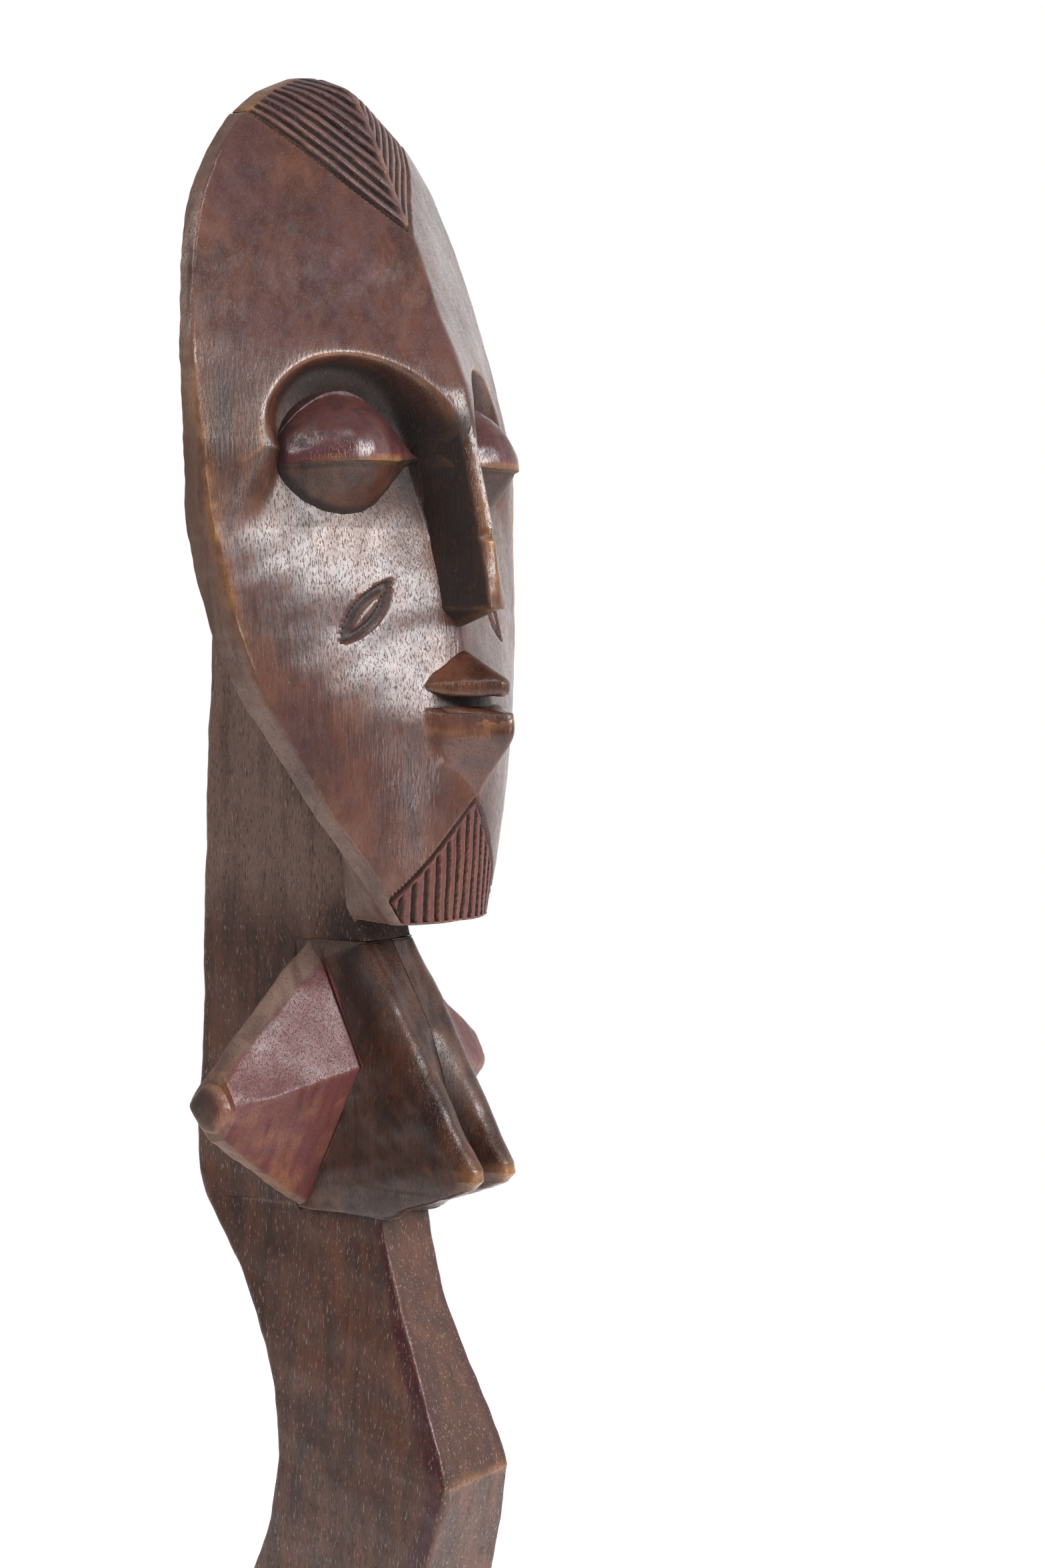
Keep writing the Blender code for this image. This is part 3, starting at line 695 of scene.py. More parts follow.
def face_soot(x, y, z):
    """Painted shade in the cove under the brow, beside the nose, in the mouth, in the scar, at the temple, in
    the deep parts and under the carved edges, with the forehead's two dark knots.
    """
    front = ramp(3.0, 0.8, y - skin(x, z))
    inside = eye_hollow(x, z)
    cove = ramp(0.6, 3.0, inside) * ramp(14.0, 6.0, inside) * ramp(484, 490, z) * ramp(50, 30, np.abs(x))
    beside = ramp(15, 7, np.abs(x)) * ramp(474, 488, z) * ramp(506, 498, z)
    mouth = ramp(15.5, 10, np.abs(x)) * ramp(416.6, 417.6, z) * ramp(423.5, 422.4, z)
    deep = ramp(3.0, 7.0, y - brow_plane(x, z)) * (z > 470) * 0.25
    _, lens = scar_place(x, z)
    scar = ramp(0.0, 0.6, lens) * ramp(2.9, 2.0, lens) * 0.75
    knots = spot(x, z, (-33.9, 554.6), (1.5, 1.5)) + spot(x, z, (-25.5, 554.0), (1.2, 1.2))
    temple = 0.3 * spot(np.abs(x), z, (60.0, 506.0), (9.0, 20.0))
    return front * (0.95 * cove + 0.85 * beside + mouth + deep + scar + knots + temple)


def face_stain(x, y, z):
    """Purple brown on the forehead, redder on the cheeks."""
    front = ramp(3.0, 0.8, y - skin(x, z))
    forehead = ramp(495, 525, z) * 0.55
    cheeks = ramp(480, 455, z) * 0.35
    return front * (forehead + cheeks) * (0.75 + 0.35 * uneven((x, z), 30, 41))


def face_bare(x, y, z):
    """Bare grey brown wood round the rim and behind; it is stronger low on the face, as painted light on the
    rim's underside.
    """
    return ramp(0.2, 1.2, y - edge_y(z)) * blend(0.75, 1.0, ramp(455, 435, z))


def face_wear(x, y, z):
    """Golden where hands rub: the rim, the chin, the brow's edge and the old scratch."""
    half = edge_x(z)
    rubbed = 0.08 + 0.55 * ramp(430, 455, z) * ramp(530, 500, z)
    rim = np.exp(-(((half - np.abs(x)) / 2.4) ** 2)) * ramp(4.0, 0.2, y - edge_y(z)) * rubbed
    chin = ramp(1.2, 0.1, np.abs(y - chin_wedge(x, z)) + np.abs(z - 412.5) * 0.35) * 0.3
    brow = np.exp(-((eye_hollow(x, z) + 0.5) / 0.7) ** 2) * (z > 488) * 0.35
    return rim + chin + brow + 0.4 * scratch(x, z) * ramp(3.0, 0.8, y - skin(x, z))


def carve_face(finish):
    """The head, from the chin to the crown."""
    heights = np.concatenate([
        np.arange(CHIN_Z, 394, 0.9), np.arange(394, 520, 0.55), np.arange(520, 585, 0.85),
        np.arange(585, 603.3, 0.5),
    ])
    rings = rounded_ends([face_ring(z) for z in heights], 0.7)
    mesh = rings_mesh("carved_face", rings)
    hand_cut(mesh, 0.22, 17, 31, keep=lambda x, y, z: ramp(-1.0, 3.0, y - edge_y(z)))
    return new_piece(
        "carved_face", mesh, finish, "face", "polished_wood",
        wear=face_wear, soot=face_soot, stain=face_stain, bare=face_bare, edge_wear=0.22,
    )


def coiffure_half(foot):
    """Where a row of the coiffure that starts at a height on the ridge meets the rim."""
    low, high = 0.0, 60.0
    for _ in range(40):
        middle = (low + high) / 2
        z = foot + COIFFURE_SLOPE * middle
        if z < TOP_Z and middle < edge_x(z):
            low = middle
        else:
            high = middle
    return low


def coiffure_ring(foot, lift):
    """One slanting row of the coiffure, from rim to rim over the ridge, its front set back by lift."""
    half = coiffure_half(foot)
    shares = np.linspace(0, 1, 56)
    shares = shares + 0.03 * np.sin(np.pi * shares) * (shares - 1)
    x = half * shares
    z = foot + COIFFURE_SLOPE * x
    y = brow_plane(x, z) + lift + 0.22 * uneven((x, z), 34, 3)
    z_edge = z[-1]
    y_edge = edge_y(z_edge) + lift
    y_rim = min(edge_y(z_edge) + rim_depth(z_edge), face_back(z_edge) - 0.6)
    inset = min(3.0, 0.4 * half)
    points = list(zip(x[:-1], y[:-1], z[:-1]))
    for share, out in ((0.0, 0.05), (0.14, 0.18), (0.35, 0.25), (0.6, 0.25), (0.85, 0.2), (1.0, 0.0)):
        points.append((half + RIM_FLARE * share + out, blend(y_edge, y_rim, share), z_edge))
    points.append((half - inset, y_rim, z_edge - inset))
    points.append((half - inset, y_edge + 3.4, z_edge - inset))
    for share in (0.66, 0.33):
        at = (half - inset) * share
        z_at = foot + COIFFURE_SLOPE * at
        points.append((at, brow_plane(at, z_at) + 4.0, z_at))
    right = np.array(points)
    right[:, 2] = np.minimum(right[:, 2], TOP_Z)
    left = right[1:][::-1] * (-1, 1, 1)
    middle = np.array([[0.0, brow_plane(0.0, foot) + 4.2, foot]])
    return np.concatenate([right, middle, left])


def combed_tree():
    """Geometry nodes that comb grooves across a surface's "comb" measure, where its "room" allows."""
    tree = bpy.data.node_groups.new("Combed grooves", "GeometryNodeTree")
    sockets = tree.interface
    sockets.new_socket("Geometry", in_out="INPUT", socket_type="NodeSocketGeometry")
    sizes = {"Pitch": 3.6, "Depth": 1.3, "Land share": 0.5, "Wander": 0.3, "Seed": 1.0}
    for name, default in sizes.items():
        sockets.new_socket(name, in_out="INPUT", socket_type="NodeSocketFloat").default_value = default
    sockets.new_socket("Finish", in_out="INPUT", socket_type="NodeSocketMaterial")
    sockets.new_socket("Geometry", in_out="OUTPUT", socket_type="NodeSocketGeometry")
    link = tree.links.new
    given = tree.nodes.new("NodeGroupInput").outputs

    def add(kind, settings=None, values=None):
        node = tree.nodes.new(kind)
        for name, value in (settings or {}).items():
            setattr(node, name, value)
        for key, value in (values or {}).items():
            if isinstance(value, bpy.types.NodeSocket):
                link(value, node.inputs[key])
            else:
                node.inputs[key].default_value = value
        return node.outputs

    def sums(operation, *values):
        return add("ShaderNodeMath", {"operation": operation}, dict(enumerate(values)))[0]

    def measure(name):
        return add("GeometryNodeInputNamedAttribute", {"data_type": "FLOAT"}, {"Name": name})["Attribute"]

    def between(value, low, high, low_to, high_to):
        settings = {"interpolation_type": "SMOOTHSTEP", "clamp": True}
        values = {"Value": value, "From Min": low, "From Max": high, "To Min": low_to, "To Max": high_to}
        return add("ShaderNodeMapRange", settings, values)["Result"]

    place = add("GeometryNodeInputPosition")["Position"]
    noise = {"noise_dimensions": "4D"}
    shared = {"Vector": place, "W": given["Seed"], "Detail": 2.0}
    slow, fine = (add("ShaderNodeTexNoise", noise, {**shared, "Scale": scale})[0] for scale in (60.0, 420.0))
    drift = sums("MULTIPLY", sums("SUBTRACT", slow, 0.5), sums("MULTIPLY", given["Wander"], 4.0))
    across = sums("DIVIDE", sums("ADD", measure("comb"), drift), given["Pitch"])
    number = sums("FLOOR", across)
    spread = {"Min": 0.75, "Max": 1.15, "ID": number, "Seed": 7}
    drawn = add("FunctionNodeRandomValue", {"data_type": "FLOAT"}, spread)
    own = next(socket for socket in drawn if socket.enabled and socket.type == "VALUE")
    off_land = sums("ABSOLUTE", sums("SUBTRACT", sums("FRACT", across), 0.5))
    rough_edge = sums("MULTIPLY", sums("SUBTRACT", fine, 0.5), 0.14)
    wall = sums("ADD", sums("MULTIPLY", given["Land share"], 0.5), rough_edge)
    groove = between(sums("SUBTRACT", off_land, wall), -0.055, 0.10, 0.0, 1.0)
    groove = sums("MULTIPLY", groove, measure("room"))
    ragged = sums("ADD", 0.85, sums("MULTIPLY", fine, 0.3))
    deep = sums("MULTIPLY", sums("MULTIPLY", groove, sums("MULTIPLY", given["Depth"], ragged)), own)
    crown = sums("MULTIPLY", sums("MULTIPLY", off_land, off_land), sums("MULTIPLY", given["Depth"], 0.9))
    shift = sums("MULTIPLY", sums("ADD", deep, sums("MULTIPLY", crown, measure("room"))), MM)
    offset = add("ShaderNodeCombineXYZ", None, {"Y": shift})[0]
    moved = add("GeometryNodeSetPosition", None, {"Geometry": given["Geometry"], "Offset": offset})[0]
    kept = add(
        "GeometryNodeStoreNamedAttribute", {"data_type": "FLOAT", "domain": "POINT"},
        {"Geometry": moved, "Name": "groove", "Value": groove},
    )[0]
    real = add("GeometryNodeRealizeInstances", None, {"Geometry": kept})[0]
    done = add("GeometryNodeSetMaterial", None, {"Geometry": real, "Material": given["Finish"]})[0]
    link(done, tree.nodes.new("NodeGroupOutput").inputs[0])
    return tree


def combed(name, mesh, finish, comb, room, **sizes):
    """The mesh with grooves combed into it, as a plain mesh that keeps a "groove" measure."""
    tree = bpy.data.node_groups.get("Combed grooves") or combed_tree()
    obj = bpy.data.objects.new(name, mesh)
    bpy.context.scene.collection.objects.link(obj)
    for measure, values in (("comb", comb), ("room", room)):
        layer = mesh.attributes.new(measure, "FLOAT", "POINT")
        layer.data.foreach_set("value", np.ascontiguousarray(values, np.float32))
    modifier = obj.modifiers.new("Combed grooves", "NODES")
    modifier.node_group = tree
    inputs = {item.name: item.identifier for item in tree.interface.items_tree if item.in_out == "INPUT"}
    for key, value in sizes.items():
        modifier[inputs[key.replace("_", " ").capitalize()]] = value
    modifier[inputs["Finish"]] = finish
    bpy.context.view_layer.update()
    graph = bpy.context.evaluated_depsgraph_get()
    ready = obj.evaluated_get(graph)
    done = bpy.data.meshes.new_from_object(ready, preserve_all_data_layers=True, depsgraph=graph)
    bpy.data.objects.remove(obj, do_unlink=True)
    done.name = name
    return done


def groove_of(mesh):
    """How deep in a groove each point lies, 0 to 1."""
    values = np.empty(len(mesh.vertices), np.float32)
    mesh.attributes["groove"].data.foreach_get("value", values)
    return values.astype(float)


def carve_coiffure(finish, pitch, depth):
    """The hair: slanting combed grooves that meet in a narrow ridge."""
    between = np.arange(COIFFURE_FOOT + 1.7, TOP_Z - 1.2, 0.42)
    feet = np.concatenate([[COIFFURE_FOOT + 1.2], between, [TOP_Z - 0.6]])
    rings = [coiffure_ring(foot, 2.5 * ramp(3.2, 0.8, foot - COIFFURE_FOOT)) for foot in feet]
    mesh = rings_mesh("combed_coiffure", rings)
    x, y, z = places(mesh)
    front = ramp(1.2, 0.4, y - brow_plane(x, z) - 0.3)
    comb = above_coiffure_line(x, z)
    spine = ramp(0.5, 1.5, np.abs(x) - 0.25 * uneven((z, z), 12, 5))
    edge = ramp(-0.3, 1.6, edge_x(z) - np.abs(x)) * 0.75 + 0.25
    room = front * spine * edge * ramp(1.0, 2.6, comb)
    mesh = combed(
        "combed_coiffure", mesh, finish, comb - 1.0, room,
        pitch=pitch, depth=depth, land_share=0.46, wander=0.35, seed=3.0,
    )
    groove = groove_of(mesh)
    x, y, z = places(mesh)
    rim = ramp(1.0, -0.2, edge_x(z) - np.abs(x))
    first = ramp(2.6, 1.2, above_coiffure_line(x, z))
    return new_piece(
        "combed_coiffure", mesh, finish, "coiffure", "red_pigment", edge_wear=0.35,
        # Painted shade in the grooves and along the lowest row
        soot=lambda x, y, z: groove + first, stain=lambda x, y, z: (1 - groove) * (1 - 0.6 * rim),
        wear=lambda x, y, z: 0.55 * rim + 0.5 * ramp(1.3, 0.4, np.abs(x)) * (1 - groove),
    )


def carve_beard(finish, pitch, depth):
    """The beard: upright grooves on the jaw, with a cut line round them."""
    rings = []
    for x in np.arange(-22.0, 22.01, 0.22):
        top = BEARD_TOP - BEARD_SLOPE * abs(x) - 1.0
        low = CHIN_Z + 0.15
        while abs(x) >= edge_x(low) - 0.3:
            low += 0.4
        z = np.linspace(low, max(top, low + 0.6), 60)
        x_row = np.full(len(z), x)
        y = skin(x_row, z) + 1.7 * ramp(1.9, 0.7, np.minimum(below_beard_line(x, z), 9))
        y_high, y_low = skin(x, z[-1]), skin(x, z[0])
        back = [(x, y_high + 3.2, z[-1]), (x, y_low + 4.6, z[0]), (x, y_low + 2.0, z[0])]
        rings.append(np.concatenate([np.column_stack([x_row, y, z]), back]))
    mesh = rings_mesh("grooved_beard", rings)
    x, y, z = places(mesh)
    room = ramp(1.0, 0.3, y - skin(x, z)) * ramp(1.4, 2.8, below_beard_line(x, z))
    comb = x + 0.10 * (z - CHIN_Z) + 40
    mesh = combed(
        "grooved_beard", mesh, finish, comb, room,
        pitch=pitch, depth=depth, land_share=0.56, wander=0.22, seed=8.0,
    )
    groove = groove_of(mesh)
    return new_piece(
        "grooved_beard", mesh, finish, "beard", "red_pigment", edge_wear=0.3,
        # Painted shade in the grooves and along the cut line at their top
        soot=lambda x, y, z: 0.95 * groove + ramp(1.9, 1.0, below_beard_line(x, z)),
        stain=lambda x, y, z: 1 - groove,
    )


def carve_eye(side, finish):
    """A swelling closed eye: a full upper lid with a sharp edge over a steeper lower lid."""
    name = f"closed_eye_{side}"
    crest_y, crest_z = smooth(LID_CREST), straight(LID_CREST_Z)
    top_z, low_z = smooth(LID_TOP), smooth(LID_BOTTOM)
    outer, inner = LID_CREST[0][0], LID_CREST[-1][0]
    turns = np.linspace(0, math.pi, 96)
    rings = []
    for x in (outer + inner) / 2 + (outer - inner) / 2 * np.cos(turns):
        y0, z0, z1, z2 = crest_y(x), crest_z(x), top_z(x), low_z(x)
        z1, z2 = max(z1, z0 + 0.3), min(z2, z0 - 0.3)
        lid = min(0.7, 0.35 * (z1 - z0))
        points = []
        base = skin(x, z1) + 1.6
        for s in np.sin(np.linspace(math.pi / 2, 0, 30)):
            points.append((base + (y0 - base) * (1 - s**2) ** 0.52, blend(z0 + lid * 0.3, z1, s)))
        shelf = min(1.5, 0.22 * max(z0 - z2, 0.1))
        points += [(y0 + 0.06, z0 - 0.05), (y0 + 0.35, z0 - 0.35 * lid), (y0 + 0.9 * shelf, z0 - 0.55 * lid)]
        start, base = y0 + 1.05 * shelf, skin(x, z2) + 1.6
        for s in np.linspace(0.04, 1, 24):
            points.append((blend(start, base, 1 - (1 - s**1.25) ** 0.86), blend(z0 - 0.6 * lid, z2, s)))
        points += [(base + 2.5, z2), (base + 2.5, z0), (base + 2.5, z1)]
        rings.append([(x, y, z) for y, z in points])
    mesh = rings_mesh(name, rings)
    hand_cut(mesh, 0.12, 9, 51 + SIDES[side])

    def above_crease(x, z):
        return z - crest_z(np.abs(x))

    def wear(x, y, z):
        lid_edge = ramp(1.9, 0.2, np.abs(above_crease(x, z) - 0.6))
        return 0.75 * lid_edge * ramp(7, 16, np.abs(x)) * ramp(47, 42, np.abs(x))

    # Painted shade in the crease between the lids, where the lids meet the face and at their inner end by the
    # nose; the lower lid is darker, and the flecks on the upper lid are the wood's own
    def soot(x, y, z):
        above = above_crease(x, z)
        crease = 0.6 * ramp(0.0, -0.5, above) * ramp(-2.2, -1.2, above)
        lower_lid = 0.35 * ramp(-1.0, -4.0, above)
        socket = 0.9 * ramp(4.0, 1.0, skin(x, z) - y) + 0.5 * ramp(16, 9, np.abs(x))
        flecks = 0.5 * ramp(0.4, 0.6, uneven((x, y, z), 5.0, 77)) * ramp(2, 4, above)
        return crease + lower_lid + socket + flecks

    def stain(x, y, z):
        above = above_crease(x, z)
        return ramp(-1, 1.0, above) * (0.6 + 0.6 * ramp(6, 1.5, above))

    return paired_piece(
        side, name, mesh, finish, "eye", "polished_wood", wear=wear, soot=soot, stain=stain, edge_wear=0.1,
    )


def carve_nose(finish):
    """A long narrow nose with upright walls and a flat slanted underside."""
    ridge, half, fall, foot = (straight(NOSE, column) for column in (1, 2, 3, 4))
    low, high = NOSE[0][0], 514.0
    rings = []
    heights = np.concatenate([
        np.linspace(low, 464, 26), np.linspace(464.3, 472, 24), np.linspace(472.6, high, 60),
    ])
    for z in heights:
        merge = ramp(499, 509, z)
        y_mid = blend(float(ridge(z)), brow_plane(0.0, z) - 0.1, merge) + 0.9 * ramp(507, 513.5, z)
        reach = half(z)
        back = max(ground_y(min(z, 500.0)), -32.0) + 6.0
        sides = []
        for share in (0.0, 0.25, 0.5, 0.72, 0.88, 0.97):
            drop = blend(fall(z) * share**1.5, brow_plane(reach * share, z) - brow_plane(0.0, z), merge)
            sides.append((reach * share, y_mid + drop))
        y_corner = sides[-1][1]
        wall = [(reach + 0.12, y_corner + 0.4), (reach + 0.25, y_corner + 1.1)]
        for share in (0.15, 0.3, 0.45, 0.6, 0.75, 0.9, 1.0):
            wall.append((blend(reach + 0.3, foot(z), share**1.15), blend(y_corner + 1.2, back, share)))
        right = np.array(sides + wall)
        left = right[1:][::-1] * (-1, 1)
        rings.append(ring_at(np.concatenate([right, left]), z))
    bottom, keel = rings[0], []
    fall_back = 5.2 * np.clip((bottom[:, 1] - bottom[:, 1].min()) / 15.0, 0, 2)
    for share in (0.97, 0.85, 0.7, 0.5, 0.3, 0.15, 0.06):
        ring = bottom.copy()
        ring[:, 0] *= 1 - share
        ring[:, 2] -= 0.35 * min(share / 0.06, 1) + fall_back * share
        keel.append(ring)
    mesh = rings_mesh("ridged_nose", keel + rings)
    hand_cut(mesh, 0.14, 12, 61)

    # Painted shade on the nose's side walls and its underside
    def soot(x, y, z):
        wall = ramp(2.7, 3.4, np.abs(x)) * ramp(512, 500, z)
        underside = ramp(447.6, 447.0, z) * ramp(-50.5, -48.5, y)
        return 0.95 * np.maximum(wall, underside)

    def wear(x, y, z):
        return ramp(3.0, 1.6, np.abs(x)) * (0.62 - 0.35 * ramp(465, 490, z)) * ramp(508, 490, z)

    return new_piece(
        "ridged_nose", mesh, finish, "nose", "polished_wood", wear=wear, soot=soot, edge_wear=0.35,
    )


def carve_upper_lip(finish):
    """The upper lip: a low peak under the nose that runs down to a level band."""
    top, edge, edge_z, under = (smooth(UPPER_LIP, column) for column in (1, 2, 3, 4))
    reach = UPPER_LIP[-1][0]
    rings = []
    for x in np.linspace(-reach, reach, 121):
        a = abs(x)
        y0 = edge(a) + 0.28 * math.exp(-((a / 0.8) ** 2))
        z0, z1, z2 = edge_z(a), top(a), under(a)
        y_top, y_low = skin(x, z1) + 0.7, skin(x, z2) + 2.5
        points = []
        for s in np.linspace(0, 1, 16)[:-1]:
            points.append((blend(y_top, y0 + 0.25, s) + 0.5 * math.sin(math.pi * s), blend(z1, z0, s)))
        points += [(y0 + 0.08, z0 - 0.25), (y0, z0 - 0.7)]
        for s in (0.2, 0.4, 0.6, 0.8, 0.93):
            points.append((y0 + 1.2 * s * s, blend(z0 - 0.7, z2, s)))
        points += [(y0 + 1.7, z2), (blend(y0 + 1.7, y_low, 0.5), z2 + 0.3), (y_low + 1, z2 + 0.5)]
        points += [(y_low + 2.5, blend(z2, z1, 0.5)), (y_top + 2.5, z1)]
        rings.append([(x, y, z) for y, z in points])
    mesh = rings_mesh("peaked_upper_lip", rings)
    worn_soft(mesh, 7)
    hand_cut(mesh, 0.12, 8, 71)
    return new_piece(
        "peaked_upper_lip", mesh, finish, "upper_lip", "polished_wood", edge_wear=0.25,
        # Painted shade under the lip, in the mouth, and where it meets the face
        soot=lambda x, y, z: 0.9 * ramp(422.8, 421.6, z) + 0.35 * ramp(0.8, 0.0, skin(x, z) - y),
    )


def carve_lower_lip(finish):
    """The lower lip: a thin band that sits on the chin's wedge."""
    rings = []
    for x in np.linspace(-12.6, 12.6, 101):
        a = abs(x)
        z_top = 418.2 + 0.12 * a
        points = []
        ease = 1 - ramp(10.5, 12.6, a)
        for z in np.linspace(406.0, 415.6, 14):
            proud = 0.55 * ramp(406.5, 411, z) * ease - 0.35
            points.append((skin(x, z) - proud, z))
        y_front = skin(x, 415.6) - 0.2 * ease
        points += [(y_front + 0.12, 416.3), (y_front + 0.5, z_top - 0.9)]
        points += [(y_front + 1.1, z_top - 0.3), (y_front + 2.2, z_top)]
        floor = skin(x, 420.5)
        points += [(blend(y_front + 2.2, floor, 0.5), z_top + 1.5 * ease)]
        points += [(floor + 1.6, z_top + 2.8 * ease + 0.2), (floor + 3.0, 414.0), (floor + 3.0, 406.0)]
        rings.append([(x, y, z) for y, z in points])
    mesh = rings_mesh("thin_lower_lip", rings)
    worn_soft(mesh, 6)
    hand_cut(mesh, 0.10, 8, 81)
    return new_piece(
        "thin_lower_lip", mesh, finish, "lower_lip", "polished_wood", edge_wear=0.2,
        wear=lambda x, y, z: 0.5 * ramp(412, 415, z) * ramp(417.6, 416.4, z) * ramp(10, 5, np.abs(x)),
        # Painted shade on the mouth's floor behind the lip and at its corners
        soot=lambda x, y, z: 0.9 * ramp(419.6, 420.8, z) + 0.5 * ramp(9.5, 12, np.abs(x)) * ramp(416, 418, z),
    )


# Trunk, chest and arms


def trunk_half(y, z):
    """The trunk's half width: below the chest it widens evenly to the back, above it follows the shoulder."""
    front, back = straight(BELLY)(z), spine_y(z)
    narrow = straight(BELLY, 2)(z)
    lower = blend(narrow, 18.0, np.clip((y - front) / (back - front), 0, 1))
    upper = np.interp(y, (-10.6, 6.8, 50.0), (9.6, 16.2, 18.0))
    return float(blend(lower, upper, ramp(CHEST_LOW[2], CHEST_LOW[2] + 30, z)))


def trunk_outline(z):
    """The trunk's level outline: its narrow front edge, its sides and its broad back."""
    y_back = float(spine_y(z))
    if z < CHEST_LOW[2]:
        y_front = float(straight(BELLY)(z))
    elif z < CHEST_HIGH[2]:
        y_front = 12.4
    elif z < CHIN_Z + 0.5:
        y_front = -10.6 + 0.5 * (z - CHEST_HIGH[2])
    else:
        y_front = float(face_back(z)) + 0.1
    y_mid = max(6.8, y_front + 1.2)
    y_band = blend(y_front, y_mid, 0.35)
    swells = ((y_front, 0.0), (y_band, 0.05), (y_mid, 0.15), (y_back, 0.0))
    side = [(trunk_half(y, z) + swell, y) for y, swell in swells]
    corners = side + [(-x, y) for x, y in reversed(side)]
    return rounded(corners, (1.4, 0.6, 1.0, 2.2, 2.2, 1.0, 0.6, 1.4), steps=6, spans=9)


def trunk_stain(x, y, z):
    """A band of red pigment beside the front edge, widest at the belly."""
    front = straight(BELLY)(z)
    wide = blend(2.4, 6.8, ramp(262, 196, z)) + 0.5 * uneven((z, 0 * z), 12.0, 92)
    band = ramp(wide + 0.9, wide - 0.3, y - front) * (z < 269) * ramp(152, 158, z)
    ahead = ramp(1.2, 0.4, y - front) * (z < 269)
    narrow = straight(BELLY, 2)(z)
    seam = ramp(3.4, 1.6, narrow - np.abs(x)) * ramp(262, 240, z) * ramp(193, 200, z)
    return np.where(ahead > 0.5, seam * 0.7, band)


def carve_trunk(finish):
    """The deep plank behind the head and under the chest, with steps that take the chest and the chin."""
    ledges = (CHEST_LOW[2], CHEST_HIGH[2] + 0.3, CHIN_Z + 0.5)
    steps = [ledge + off for ledge in ledges for off in (-0.05, 0.05)]
    plain = np.arange(TRUNK_LOW[2], TRUNK_HIGH[2], 1.5)
    fine = np.arange(190, 199, 0.5)
    heights = np.unique(np.concatenate([plain, fine, steps, [TRUNK_HIGH[2]]]))
    rings = rounded_ends([ring_at(trunk_outline(z), z) for z in heights], 0.9)
    mesh = rings_mesh("plank_trunk", rings)
    hand_cut(mesh, 0.40, 30, 101)

    # Painted shade under the chin at the neck, and a painted shadow under the chest's ledge
    def soot(x, y, z):
        neck = 0.8 * ramp(347, 350, z) * ramp(366, 357, z) * ramp(9, -3, y)
        ledge = 0.8 * ramp(267.5, 268.8, z) * ramp(270, 269, z) * ramp(14, 10, y)
        return neck + ledge

    def wear(x, y, z):
        return 0.8 * np.exp(-(((z - 194.5) / 1.3) ** 2)) * ramp(-38, -42, y)

    return new_piece(
        "plank_trunk", mesh, finish, "trunk", "plain_wood",
        # The upper trunk behind the head is bare wood, laid on fully as painted light where the head keeps the
        # light off
        wear=wear, soot=soot, stain=trunk_stain, bare=lambda x, y, z: ramp(346, 372, z), edge_wear=0.02,
    )


def shoulder_share(z):
    """How far a height is up the slanting cut of the shoulder, 0 to 1."""
    return np.clip((z - SHOULDER_CUT[0]) / (SHOULDER_CUT[1] - SHOULDER_CUT[0]), 0, 1)


def carve_breast(side, finish):
    """A breast with a long ridge from the throat to its tip, and a facet out to the arm."""
    name = f"ridged_breast_{side}"
    valley, ridge_x, ridge_y, side_y = (straight(BREAST, column) for column in (1, 2, 3, 4))
    rings = []
    low, high = BREAST[0][0], BREAST[-1][0]
    heights = np.unique(np.concatenate([np.arange(low, high, 0.9), np.arange(276, 290, 0.4), [high]]))
    for z in heights:
        ridge, side_at = np.array([ridge_x(z), ridge_y(z)]), np.array([SIDE_X, min(side_y(z), 11.0)])
        crease = blend(side_at - (0.1, 0.4), np.array([11.6, -9.0]), shoulder_share(z))
        girth = np.interp(z, *zip(*BREAST_GIRTH))
        inner, top, outer = (ridge + girth * np.array(way) for way in ((-0.95, 0.1), (0.4, 0.0), (1.05, 1.2)))
        hollow = ramp(279, 300, z) * ramp(350, 342, z)
        flank = blend(outer, crease, 0.5) + (-0.5 * hollow, 2.6 * hollow)
        behind = [(SIDE_X + 0.1, 12.6), (0.1, 12.6)]
        corners = [(0.1, valley(z)), inner, top, outer, flank, crease, side_at, *behind]
        outline = rounded(corners, (0.2, girth, girth, girth, 6.0, 0.5, 0.5, 0.3, 0.3), steps=8, spans=6)
        rings.append(ring_at(outline, z))
    mesh = rings_mesh(name, rounded_ends(rings, 0.5))
    hand_cut(mesh, 0.25, 16, 111, keep=lambda x, y, z: ramp(0.4, 2.5, x))

    # Painted shade in the valley between the breasts and on their outer flanks
    def soot(x, y, z):
        a = np.abs(x)
        valley_dark = ramp(4.5, 0.5, a) * 0.8 * ramp(324, 310, z)
        outer = ramp(10.5, 12.5, a) * ramp(318, 330, z) * 0.5
        return valley_dark + outer

    def wear(x, y, z):
        return 1.2 * spot(y, z, (-50.5, 283.6), (3.2, 3.6))

    def bare(x, y, z):
        behind = ramp(-0.5, 0.4, y - blend(side_y(z), -9.6, shoulder_share(z)))
        shoulder = behind * ramp(343.6, 344.6, z) * ramp(9.0, 10.4, np.abs(x))
        return shoulder + 0.8 * spot(x, z, (4.0, 312.0), (3.0, 9.0))

    return paired_piece(
        side, name, mesh, finish, "breast", "polished_wood", wear=wear, soot=soot, bare=bare, edge_wear=0.04,
    )


